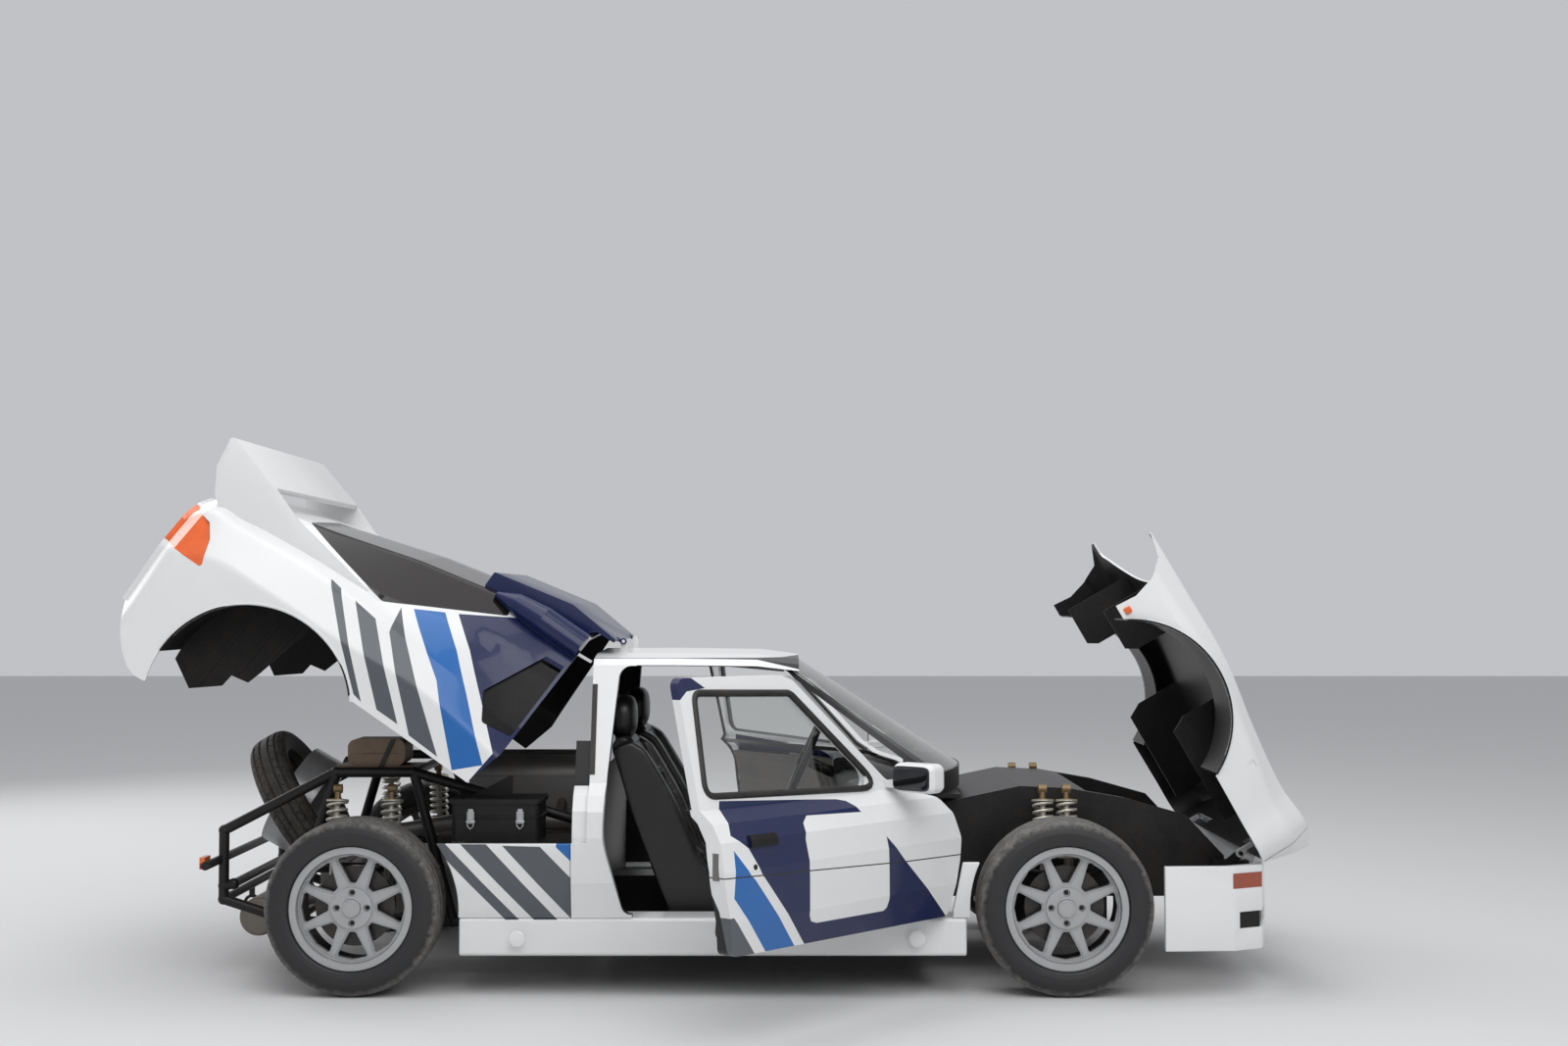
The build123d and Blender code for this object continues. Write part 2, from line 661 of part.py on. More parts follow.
def grown_plate(rows, by, y0, y1):
    """Plate of an outline of (x, z, radius) rows, offset outwards by a margin."""
    points = [(x, y0, z) for x, z, _ in rows]
    outline = FilletPolyline(*points, radius=[r for _, _, r in rows], close=True)
    return extrude(offset(make_face(outline), amount=by), amount=y1 - y0, dir=(0, 1, 0))


def nose_x(height):
    """Place of the sloping nose face at a height above the front hinge."""
    (x0, z0), (x1, z1) = NOSE_UNDERCUT[1:3]
    return FRONT_HINGE_X + x0 + (x1 - x0) * (height - z0) / (z1 - z0)


def nose_slab(z0, z1, near, far, y0, y1):
    """Slab behind the nose face, between two depths and two heights above the hinge."""
    points = ((nose_x(z0) - near, FRONT_HINGE_Z + z0), (nose_x(z1) - near, FRONT_HINGE_Z + z1),
              (nose_x(z1) - far, FRONT_HINGE_Z + z1), (nose_x(z0) - far, FRONT_HINGE_Z + z0))
    return side_plate(points, y0, y1)


def arch_liner(x, z, radius, y0, y1, low, high):
    """Part of a thin ring inside a wheel arch, between two heights."""
    ring = cross_drum(x, z, radius, y0, y1) - cross_drum(x, z, radius - ARCH_LINER, y0, y1)
    return ring & block(x - radius, x + radius, -BODY_REACH, BODY_REACH, low, high)


def make_front_clamshell():
    """Bonnet, wings and nose in one lid, with its liners, lamps, grille and hinge arms."""
    ax = FRONT_AXLE_X
    shell = lofted_bands(ax, FRONT_SECTIONS, FRONT_RADII, CLAM_WALL)
    inside = lofted_full(ax, FRONT_SECTIONS, FRONT_RADII, CLAM_WALL)
    nose = lofted_full(ax, (FRONT_SECTIONS[-1], NOSE_TIP), FRONT_RADII)
    undercut = [(FRONT_HINGE_X + x, FRONT_HINGE_Z + z) for x, z in NOSE_UNDERCUT]
    nose = nose - side_plate(undercut, -BODY_REACH, BODY_REACH)
    lamps = []
    near, far, low, high = HEADLAMP
    for side in SIDES:
        y0, y1 = span(side, near, far)
        pocket = nose_slab(low, high, -LAMP_DEPTH, LAMP_DEPTH, y0, y1)
        lamps.append(front_open(nose & pocket))
        nose = nose - pocket
    save("front_clamshell_lamps", *lamps)
    near, far, low, high = NOSE_GRILLE
    pocket = nose_slab(low, high, -GRILLE_DEPTH, GRILLE_DEPTH, -far, far)
    grille = nose_slab(low, high, GRILLE_DEPTH - GLASS, GRILLE_DEPTH, -far, far)
    for y in NOSE_GRILLE_BARS:
        grille = grille + nose_slab(low, high, GLASS / 2, GRILLE_DEPTH, y - NOSE_BAR / 2, y + NOSE_BAR / 2)
    grille = grille & nose
    nose = nose - pocket
    save("front_clamshell_grille", front_open(grille))
    shell = shell + nose
    screen_edge = SCREEN_BASE_RADIUS + SCREEN_GAP
    plan_cut = Cylinder(screen_edge, BODY_REACH)
    plan_cut = plan_cut.translate((SCREEN_BASE_X - SCREEN_BASE_RADIUS, 0, BODY_REACH))
    shell = shell - (plan_cut & block(ax - COWL_CUT_BACK, ax, -TIP_INNER_Y, TIP_INNER_Y, *COWL_CUT_HEIGHTS))
    rows = placed(DOOR_SHUT_LINE, ax)
    door_edge = [(ax - DOOR_CUT_BACK, rows[0][1])] + [(x + PANEL_GAP, z) for x, z in rows[:-1]]
    door_edge += [rows[-1], (rows[-1][0], DOOR_CUT_TOP), (ax - DOOR_CUT_BACK, DOOR_CUT_TOP)]
    arch_x = ax + FRONT_ARCH_AHEAD
    liners = []
    repeaters = []
    for side in SIDES:
        y0, y1 = span(side, TIP_INNER_Y + GLASS, BODY_REACH)
        shell = shell - side_plate(door_edge, y0, y1)
        y0, y1 = span(side, ARCH_INNER_Y, BODY_REACH)
        shell = shell - cross_drum(arch_x, FRONT_ARCH_Z, FRONT_ARCH_RADIUS, y0, y1)
        y0, y1 = span(side, ARCH_INNER_Y, ARCH_OUTER_Y)
        liner = arch_liner(arch_x, FRONT_ARCH_Z, FRONT_ARCH_RADIUS, y0, y1, FRONT_CLAM_BOTTOM, LINER_TOP)
        liners.append(front_open(liner))
        y0, y1 = span(side, LINER_WALL_Y, LINER_WALL_Y + ARCH_LINER)
        for wall in LINER_WALLS:
            liners.append(front_open(side_plate(placed(wall, ax), y0, y1) & inside))
        y0, y1 = span(side, *FRONT_ARM_Y)
        x, z = FRONT_HINGE_X, FRONT_HINGE_Z
        arm = block(x - HINGE_ARM_BACK, x + HINGE_ARM_AHEAD, y0, y1, z, z + HINGE_ARM_UP)
        arm = arm + cross_drum(x, z, HINGE_ARM_BACK, y0, y1)
        shell = shell + (arm - cross_drum(x, z, FRONT_PIN + PIN_CLEARANCE, y0, y1))
        x0, x1, z0, z1 = REPEATER
        y0, y1 = span(side, ARCH_OUTER_Y - REPEATER_DEPTH, BODY_REACH)
        plug = block(ax + x0, ax + x1, y0, y1, z0, z1)
        repeaters.append(front_open(shell & plug))
        shell = shell - plug
    save("front_clamshell_skin", front_open(shell))
    save("front_clamshell_liners", *liners)
    save("front_clamshell_repeaters", *repeaters)


def cheek(grow):
    """Right-hand rounded duct beside the roof, grown or shrunk by a margin."""
    faces = []
    for ahead, half_y, half_z, y, z in CHEEK_SECTIONS:
        plane = Plane(origin=(REAR_AXLE_X + ahead, -y, z), z_dir=(1, 0, 0), x_dir=(0, 1, 0))
        faces.append(make_face(plane * Ellipse(half_y + grow, half_z + grow)))
    return loft(faces, ruled=True)


def make_rear_clamshell():
    """Engine cover with tail, spoiler, scoops, glass, side intakes and lamps."""
    ax = REAR_AXLE_X
    solid = lofted_full(ax, REAR_SECTIONS, REAR_RADII)
    shell = lofted_bands(ax, REAR_SECTIONS, REAR_RADII, CLAM_WALL)
    pane = lofted_bands(ax, REAR_SECTIONS, REAR_RADII, GLASS)
    pocket = lofted_bands(ax, REAR_SECTIONS, REAR_RADII, INTAKE_DEPTH)
    tub = lofted_bands(ax, REAR_SECTIONS, REAR_RADII, INTAKE_DEPTH + INTAKE_WALL)
    last = REAR_SECTIONS[-1]
    shell = shell + extrude(full(ax + last[0], last[1:], REAR_RADII), amount=CLAM_WALL, dir=(-1, 0, 0))
    front_edge = placed(REAR_FRONT_EDGE, ax)
    lamp_rows = placed(TAIL_LAMP, ax)
    intake_rows = placed(SIDE_INTAKE, ax)
    liners = []
    lamps = []
    intakes = []
    for side in SIDES:
        y0, y1 = span(side, REAR_EDGE_INNER_Y, BODY_REACH)
        shell = shell - side_plate(front_edge, y0, y1)
        y0, y1 = span(side, ARCH_INNER_Y, BODY_REACH)
        shell = shell - cross_drum(ax, TYRE_RADIUS, REAR_ARCH_RADIUS, y0, y1)
        y0, y1 = span(side, ARCH_INNER_Y, ARCH_OUTER_Y)
        liner = arch_liner(ax, TYRE_RADIUS, REAR_ARCH_RADIUS, y0, y1, REAR_LINER_BOTTOM, LINER_TOP)
        back = ax - REAR_ARCH_RADIUS - CUT_MARGIN
        liners.append(rear_open(liner & block(back, ax + REAR_LINER_FRONT, y0, y1, SILL_BOTTOM, LINER_TOP)))
        y0, y1 = span(side, TAIL_INNER_Y, BODY_REACH)
        lamp_cut = rounded_side_plate(lamp_rows, y0, y1)
        lamps.append(rear_open(shell & lamp_cut))
        shell = shell - lamp_cut
        opening = rounded_side_plate(intake_rows, y0, y1)
        box = grown_plate(intake_rows, INTAKE_WALL, y0, y1)
        shell = shell - opening
        intakes.append(rear_open((box & tub) - (opening & pocket) - shell))
    save("rear_clamshell_liners", *liners)
    save("rear_clamshell_lamps", *lamps)
    save("rear_clamshell_intakes", *intakes)
    canopy = rounded_side_plate(placed(CANOPY_GLASS, ax), -BODY_REACH, BODY_REACH)
    save("rear_clamshell_windows", rear_open(pane & canopy))
    shell = shell - canopy
    save("rear_clamshell_skin", rear_open(shell))
    fin_rows = placed(FIN_OUTLINE, ax)
    spoiler = rounded_side_plate(placed(WING, ax), -FIN_Y, FIN_Y)
    cheeks = []
    for side in SIDES:
        y0, y1 = span(side, FIN_Y - FIN_THICKNESS / 2, FIN_Y + FIN_THICKNESS / 2)
        spoiler = spoiler + (rounded_side_plate(fin_rows, y0, y1) - solid)
        front = ax + CHEEK_SECTIONS[-1][0] + CUT_MARGIN
        duct = cheek(-CHEEK_WALL) & block(ax + CHEEK_SECTIONS[1][0], front, -BODY_REACH, 0, 0, CUT_TOP)
        cheeks.append(rear_open(on_side(cheek(0) - duct - solid, side)))
    save("rear_clamshell_spoiler", rear_open(spoiler))
    save("rear_clamshell_cheeks", *cheeks)
    scoop = rounded_side_plate(placed(SCOOP_TOP, ax), -SCOOP_Y, SCOOP_Y)
    duct_rows = placed(SCOOP_DUCT, ax)
    eye_x, eye_z = REAR_HINGE_X, REAR_HINGE_Z
    for side in SIDES:
        y0, y1 = span(side, SCOOP_INNER_Y, SCOOP_Y - SCOOP_WALL)
        scoop = scoop - rounded_side_plate(duct_rows, y0, y1)
    scoop = scoop - solid
    for side in SIDES:
        y0, y1 = span(side, REAR_ARM_Y, REAR_ARM_Y + HINGE_PLATE)
        eye = cross_drum(eye_x, eye_z, HINGE_EYE, y0, y1)
        eye = eye + block(eye_x - EYE_TAIL, eye_x, y0, y1, eye_z - HINGE_EYE, eye_z)
        scoop = scoop + (eye - cross_drum(eye_x, eye_z, HINGE_PIN + PIN_CLEARANCE, y0, y1))
    save("rear_clamshell_scoop", rear_open(scoop))


def door_outline():
    """The door's outline in the car."""
    return placed(DOOR_OUTLINE, FRONT_AXLE_X)


def make_roof():
    """Roof panel with its edges turned down to the door frames."""
    faces = []
    for ahead, lift, share in ROOF_STATIONS:
        outer = [(y * share, z + lift) for y, z in ROOF_HALF]
        inner = [(max(y * share - ROOF_RAIL, 0), z + lift - ROOF_THICKNESS) for y, z in ROOF_HALF]
        inner[0] = (outer[0][0] - PILLAR_WIDTH, outer[0][1])
        ring = outer + [(-y, z) for y, z in reversed(outer[:-1])]
        ring += [(-y, z) for y, z in inner[:-1]] + [(y, z) for y, z in reversed(inner)]
        faces.append(make_face(Polyline(*[(FRONT_AXLE_X + ahead, y, z) for y, z in ring], close=True)))
    return loft(faces, ruled=True)


def make_cabin():
    """Roof, screen pillars, door posts and the lugs of the rear clamshell's hinge."""
    ax = FRONT_AXLE_X
    shell = make_roof()
    roof_edge = SIDE_LINE[-1][0]
    for side in SIDES:
        foot = [(ax + PILLAR_FOOT_X, side * y, z) for y, z in PILLAR_FOOT]
        head = [(ax + PILLAR_HEAD_X, side * y, z) for y, z in PILLAR_HEAD]
        pillar = loft([make_face(Polyline(*rows, close=True)) for rows in (foot, head)], ruled=True)
        post = skin_layer(0, PILLAR_WIDTH, SILL_TOP, roof_edge, CABIN_REAR_X, POST_FRONT_X)
        post = post + skin_layer(0, PILLAR_WIDTH, SILL_TOP, SIDE_PANEL_TOP, POST_FLANGE_X, CABIN_REAR_X)
        post = post + skin_layer(POST_RECESS, POST_RECESS + POST_FLANGE_THICKNESS, SIDE_PANEL_TOP,
                                 POST_FLANGE_TOP, POST_FLANGE_X, CABIN_REAR_X)
        y0, y1 = span(side, SKIN_INNER_Y, BODY_REACH)
        aperture = grown_plate(door_outline(), PANEL_GAP, y0, y1)
        shell = shell + pillar + (on_side(post, side) - aperture)
        y0, y1 = span(side, REAR_HINGE_Y, REAR_HINGE_Y + HINGE_PLATE)
        x, z = REAR_HINGE_X, REAR_HINGE_Z
        lug = cross_drum(x, z, HINGE_EYE, y0, y1)
        lug = lug + block(x - HINGE_EYE, x + HINGE_EYE, y0, y1, LUG_FOOT_Z, z)
        y0, y1 = span(side, REAR_HINGE_Y, REAR_HINGE_Y + REAR_PIN_LENGTH)
        shell = shell + lug + cross_drum(x, z, HINGE_PIN, y0, y1)
    save("cabin_shell", shell - windscreen_glass())


def arc_strip(x, radius, half_y, z, thickness):
    """Thin curved face at a height: outer arc through (x, 0), bulging forward."""
    def arc(r, y):
        centre = x - radius
        drop = (r * r - y * y) ** 0.5
        return ThreePointArc((centre + drop, -y, z), (centre + r, 0, z), (centre + drop, y, z))
    outside = arc(radius, half_y)
    inside = arc(radius - thickness, half_y)
    ends = (Line(outside @ 1, inside @ 1), Line(inside @ 0, outside @ 0))
    return make_face(Wire([outside.edge(), ends[0].edge(), inside.edge(), ends[1].edge()]))


def windscreen_glass():
    """Curved pane between an arc at its base and one under the roof."""
    base = arc_strip(SCREEN_BASE_X, SCREEN_BASE_RADIUS, SCREEN_BASE_Y, SCREEN_BASE_Z, GLASS)
    top = arc_strip(SCREEN_TOP_X, SCREEN_TOP_RADIUS, SCREEN_TOP_Y, SCREEN_TOP_Z, GLASS)
    return loft([base, top], ruled=True)


def make_windscreen():
    """Windscreen and the black scuttle it stands on."""
    save("windscreen", windscreen_glass())
    low = BULKHEAD_TOP
    face = arc_strip(SCREEN_BASE_X + GLASS, SCREEN_BASE_RADIUS + GLASS, SCUTTLE_Y, low, SCUTTLE_DEPTH)
    wall = extrude(face, amount=SCREEN_BASE_Z - low, dir=(0, 0, 1))
    shelf = block(BULKHEAD_X + BULKHEAD_THICKNESS, SCREEN_BASE_X - SCUTTLE_DEPTH / 2, -SCUTTLE_Y, SCUTTLE_Y,
                  low - SHELF_THICKNESS, low)
    save("scuttle", wall + shelf)


def make_door(side):
    """Door shell with window frame, glass, inner trim, mirror and handle."""
    ax = FRONT_AXLE_X
    x0, x1 = ax + DOOR_SPAN[0], ax + DOOR_SPAN[1]
    bottom = SIDE_LINE[0][0]
    top = SIDE_LINE[-1][0]
    outline = rounded_side_plate(door_outline(), -BODY_REACH, -SKIN_INNER_Y)
    window = rounded_side_plate(placed(DOOR_WINDOW, ax), -BODY_REACH, -SKIN_INNER_Y)
    shell = skin_layer(0, DOOR_SHELL, bottom, WAIST_Z, x0, x1)
    shell = shell + skin_layer(0, WINDOW_FRAME, WAIST_Z, top, x0, x1)
    shell = (shell & outline) - window
    glass = skin_layer(WINDOW_GLASS_DEPTH, WINDOW_GLASS_DEPTH + GLASS, bottom, top, x0, x1) & window
    trim = skin_layer(DOOR_SHELL, DOOR_SHELL + DOOR_TRIM, bottom, WAIST_Z, x0, x1)
    trim = trim & rounded_side_plate(placed(TRIM_OUTLINE, ax), -BODY_REACH, -SKIN_INNER_Y)
    a, b, near, far, low, high = MIRROR_FOOT
    foot = block(ax + a, ax + b, -far - MIRROR_FOOT_SINK, -near, low, high)
    a, b, near, far, low, high = MIRROR_HEAD
    head = block(ax + a, ax + b, -far, -near, low, high)
    head = fillet(head.edges(), MIRROR_CORNER)
    a, b, low, high, proud = HANDLE
    handle = skin_layer(-proud, 0, low, high, ax + a, ax + b)
    mirror = (foot + head) - shell
    pieces = {"shell": shell, "glass": glass, "trim": trim, "mirror": mirror, "handle": handle}
    for piece_name, piece in pieces.items():
        save(f"door_{END[side]}_{piece_name}", on_side(door_open(piece), side))


def make_tub():
    """Floor, tunnel and bulkheads of the cabin, its rear window, the sills, side panels and ledges."""
    ax = FRONT_AXLE_X
    rear_wall = CABIN_REAR_X + WALL_BACK
    front_face = BULKHEAD_X + BULKHEAD_THICKNESS
    width = SILL_INNER_Y
    floor = block(rear_wall, front_face, -width, width, FLOOR_BOTTOM, FLOOR_BOTTOM + FLOOR_THICKNESS)
    tunnel = block(rear_wall, BULKHEAD_X, -TUNNEL_HALF, TUNNEL_HALF, FLOOR_BOTTOM, TUNNEL_TOP)
    front = block(BULKHEAD_X, front_face, -width, width, FLOOR_BOTTOM, BULKHEAD_TOP)
    rear = block(rear_wall, rear_wall + BULKHEAD_THICKNESS, -width, width, FLOOR_BOTTOM, REAR_WALL_TOP)
    save("cabin_tub", fuse(floor, tunnel, front, rear))
    glass_x = rear_wall + BULKHEAD_THICKNESS / 2
    save("cabin_rear_window", block(glass_x, glass_x + GLASS, -REAR_WINDOW_Y, REAR_WINDOW_Y, REAR_WALL_TOP,
                                    REAR_WINDOW_TOP))
    sills = []
    panels = []
    ledges = []
    for side in SIDES:
        y0, y1 = span(side, SILL_INNER_Y, SILL_OUTER_Y)
        sill = block(REAR_AXLE_X + REAR_ARCH_RADIUS + PANEL_GAP, ax - FRONT_ARCH_RADIUS + SILL_OVERRUN,
                     y0, y1, SILL_BOTTOM, SILL_TOP)
        sills.append(fillet(sill.edges().filter_by(Axis.X), SILL_CORNER))
        y0, y1 = span(side, ARCH_INNER_Y, BODY_REACH)
        rear_panel = skin_layer(0, SIDE_PANEL_DEPTH, SILL_TOP, SIDE_PANEL_TOP, REAR_AXLE_X + SIDE_PANEL_BACK,
                                POST_FLANGE_X - PANEL_SEAM)
        rear_panel = on_side(rear_panel, side)
        arch = REAR_ARCH_RADIUS + ARCH_PANEL_GAP
        rear_panel = rear_panel - cross_drum(REAR_AXLE_X, TYRE_RADIUS, arch, y0, y1)
        front_panel = skin_layer(0, SIDE_PANEL_DEPTH, SILL_TOP, FRONT_PANEL_TOP, ax + FRONT_PANEL_X[0],
                                 ax + FRONT_PANEL_X[1])
        front_panel = on_side(front_panel, side)
        arch_x = ax + FRONT_ARCH_AHEAD
        front_panel = front_panel - cross_drum(arch_x, FRONT_ARCH_Z, FRONT_ARCH_RADIUS, y0, y1)
        front_panel = front_panel - grown_plate(door_outline(), PANEL_GAP, y0, y1)
        panels += [rear_panel, front_panel]
        x0, x1, near, far, z0, z1 = LEDGE
        y0, y1 = span(side, near, far)
        ledges.append(block(REAR_AXLE_X + x0, POST_FLANGE_X - PANEL_SEAM, y0, y1, z0, z1) - rear_panel)
    save("sills", *sills)
    save("side_panels", *panels)
    save("bay_ledges", *ledges)


def make_seat(side):
    """Bucket seat: core, raised sides, headrest on two posts, and feet on the floor."""
    ax = FRONT_AXLE_X
    middle = side * SEAT_Y
    half = SEAT_WIDTH / 2
    seat = rounded_side_plate(placed(SEAT_CORE, ax), middle - half, middle + half)
    for edge in (middle - half, middle + half - SEAT_BOLSTER):
        seat = seat + rounded_side_plate(placed(SEAT_WING, ax), edge, edge + SEAT_BOLSTER)
    x, z0, z1, depth, width, corner = HEADREST
    rest = block(ax + x - depth / 2, ax + x + depth / 2, middle - width / 2, middle + width / 2, z0, z1)
    seat = seat + fillet(rest.edges().filter_by(Axis.X), corner)
    radius, spacing, down, up = HEADREST_POST
    for y in (middle - spacing, middle + spacing):
        seat = seat + rod((ax + x, y, z0 - down), (ax + x, y, z0 + up), radius)
    x0, x1, foot, foot_top = SEAT_FEET
    for y in (middle - half + foot, middle + half - 2 * foot):
        seat = seat + block(ax + x0, ax + x1, y, y + foot, FLOOR_BOTTOM + FLOOR_THICKNESS, foot_top)
    return seat


def make_interior():
    """Seats, dashboard with steering column, and the steering wheel."""
    save("seats", *[make_seat(side) for side in SIDES])
    ax = FRONT_AXLE_X
    dash = rounded_side_plate(placed(DASH_SIDE, ax), -DASH_HALF, DASH_HALF)
    driver = STEERING_CENTRE[1]
    dash = dash + rounded_side_plate(placed(BINNACLE, ax), driver - BINNACLE_HALF, driver + BINNACLE_HALF)
    reach = Vector(*COLUMN_DIRECTION)
    centre = Vector(*STEERING_CENTRE)
    column = rod(tuple(centre - reach * COLUMN_LENGTH), tuple(centre - reach * COLUMN_GAP), COLUMN_RADIUS)
    save("dashboard", dash + column)
    wheel = Torus(STEERING_RADIUS, STEERING_GRIP)
    wheel = wheel + Cylinder(BOSS_RADIUS, BOSS_LENGTH).translate((0, 0, BOSS_RISE))
    for angle in STEERING_SPOKES:
        spoke = Box(STEERING_RADIUS, *STEERING_SPOKE).translate((STEERING_RADIUS / 2, 0, 0))
        wheel = wheel + spoke.rotate(Axis.Z, angle)
    plane = Plane(origin=STEERING_CENTRE, z_dir=COLUMN_DIRECTION, x_dir=(0, 1, 0))
    save("steering_wheel", plane * wheel)


def make_bumper():
    """Front bumper with its grille bars, side ducts and the indicators set in it."""
    ax = FRONT_AXLE_X
    outer = [(ax + x, y) for x, y in BUMPER_PLAN]
    wrap = outer + [(x, -y) for x, y in reversed(outer[:-1])]
    inner = [(x - BUMPER_WALL, max(y - BUMPER_WALL, 0)) for x, y in outer]
    inner[0] = (outer[0][0], inner[0][1])
    wrap += [(x, -y) for x, y in inner[:-1]] + list(reversed(inner))
    bumper = plan_plate(wrap, BUMPER_BOTTOM, BUMPER_TOP)
    x0, x1, half, z0, z1 = BUMPER_INTAKE
    mouth = block(ax + x0, ax + x1, -half, half, z0, z1)
    bars = None
    for number in range(GRILLE_BARS):
        z = z0 + (z1 - z0) * (number + 1) / (GRILLE_BARS + 1)
        bar = block(ax + x0, ax + x1, -half, half, z - BUMPER_BAR / 2, z + BUMPER_BAR / 2)
        bars = bar if bars is None else bars + bar
    bumper = bumper - (mouth - bars)
    x0, x1, z0, z1, near = INDICATOR
    lamps = []
    for side in SIDES:
        y0, y1 = span(side, near, BODY_REACH)
        cut = block(ax + x0, ax + x1, y0, y1, z0, z1)
        lamps.append(bumper & cut)
        bumper = bumper - cut
    x0, x1, z0, z1, near = SIDE_DUCT
    for side in SIDES:
        y0, y1 = span(side, near, BODY_REACH)
        bumper = bumper - block(ax + x0, ax + x1, y0, y1, z0, z1)
    x, y, z = FRONT_TOW
    half, reach = TOW_SLOT_HALF_WIDTH, TOW_SLOT_HALF_HEIGHT
    bumper = bumper - block(x - TOW_SLOT_DEPTH, x, y - half, y + half, z - reach, z + reach)
    save("front_bumper", bumper)
    save("front_lamps", *lamps)
    return bumper


def make_front_end():
    """Bumper, and the front box with its open bay, keel, bumper stays and hinge lugs."""
    ax = FRONT_AXLE_X
    bumper = make_bumper()
    box = side_plate(placed(BOX_SIDE, ax), -BOX_HALF_WIDTH, BOX_HALF_WIDTH)
    x0, x1, z0 = BAY
    box = box - block(ax + x0, ax + x1, -BAY_HALF_WIDTH, BAY_HALF_WIDTH, z0, CUT_TOP)
    x0, x1, half, z0, z1 = KEEL
    box = box + block(ax + x0, ax + x1, -half, half, z0, z1)
    x0, x1, z0, z1 = HINGE_BEAM
    box = box + block(ax + x0, ax + x1, -FRONT_HINGE_Y - LUG_THICKNESS,
                      FRONT_HINGE_Y + LUG_THICKNESS, z0, z1)
    for side in SIDES:
        near, far, z0, z1 = BUMPER_STAY
        y0, y1 = span(side, near, far)
        stay = block(ax + BAY[1], ax + BUMPER_PLAN[-2][0] - BUMPER_WALL / 2, y0, y1, z0, z1)
        box = box + (stay - bumper)
        y0, y1 = span(side, FRONT_HINGE_Y, FRONT_HINGE_Y + LUG_THICKNESS)
        box = box + side_plate(placed(HINGE_LUG, ax), y0, y1)
        box = box + cross_drum(FRONT_HINGE_X, FRONT_HINGE_Z, HINGE_EYE + 2, y0, y1)
        y0, y1 = span(side, FRONT_HINGE_Y, FRONT_HINGE_Y + FRONT_PIN_LENGTH)
        box = box + cross_drum(FRONT_HINGE_X, FRONT_HINGE_Z, FRONT_PIN, y0, y1)
    save("front_box", box)
    return box


def coil_over(low, high):
    """Damper with an eye at each end and a coil spring between two round seats."""
    direction = (high - low).normalized()
    reach = (high - low).length
    top_seat = low + direction * (reach - SPRING_TOP_DROP)
    coil_length = SPRING_PITCH * SPRING_TURNS
    low_seat = top_seat - direction * coil_length
    piece = rod(tuple(low), tuple(low_seat), DAMPER_RADIUS) + rod(tuple(low), tuple(high), DAMPER_SHAFT)
    for middle in (low_seat, top_seat):
        edge = direction * (SPRING_SEAT_THICKNESS / 2)
        piece = piece + rod(tuple(middle - edge), tuple(middle + edge), SPRING_SEAT)
    for eye in (low, high):
        piece = piece + rod((eye.X - DAMPER_EYE_WIDTH / 2, eye.Y, eye.Z),
                            (eye.X + DAMPER_EYE_WIDTH / 2, eye.Y, eye.Z), DAMPER_EYE)
    path = Helix(pitch=SPRING_PITCH, height=coil_length, radius=SPRING_RADIUS)
    wire = sweep(Plane(path @ 0, z_dir=path % 0) * Circle(SPRING_WIRE), path=path, is_frenet=True)
    return piece + Plane(origin=low_seat, z_dir=direction) * wire


def make_suspension(front_box, rear_frame):
    """Wishbones with ball housings, and twin coil-overs at each corner."""
    arms = []
    coil_overs = []
    for axle, half_track, pin_in, low_y, high_y, low_spread, high_spread, middle, half_gap in SUSPENSION:
        pin = half_track - pin_in
        foot_y = half_track - COIL_FOOT_INSET
        for side in SIDES:
            pieces = []
            for height, inner_y, spread in ((TYRE_RADIUS - LOWER_ARM_DROP, low_y, low_spread),
                                            (TYRE_RADIUS + UPPER_ARM_LIFT, high_y, high_spread)):
                joint = (axle, side * pin, height)
                start_y = side * (inner_y - ARM_OVERRUN)
                arm = rod((axle + spread, start_y, height), joint, ARM_RADIUS)
                arm = arm + rod((axle - spread, start_y, height), joint, ARM_RADIUS)
                if height < TYRE_RADIUS:
                    bar_reach = half_gap + abs(middle) + ARM_RADIUS
                    arm = arm + rod((axle - bar_reach, side * foot_y, height),
                                    (axle + bar_reach, side * foot_y, height), ARM_RADIUS)
                if axle == FRONT_AXLE_X:
                    ends = (axle, side * pin, height - BALL_HALF), (axle, side * pin, height + BALL_HALF)
                    arm = arm + rod(*ends, BALL_RADIUS) - rod(*ends, BALL_PIN + PIN_CLEARANCE)
                pieces.append(arm - front_box - rear_frame)
            arms += pieces
            for ahead in (middle - half_gap, middle + half_gap):
                low = Vector(axle + ahead, side * foot_y, TYRE_RADIUS - LOWER_ARM_DROP)
                high = Vector(axle + ahead, side * COIL_TOP_Y, COIL_TOP_Z)
                coil_overs.append(coil_over(low, high) - pieces[0])
    save("wishbones", *arms)
    save("coil_overs", *coil_overs)
    return arms


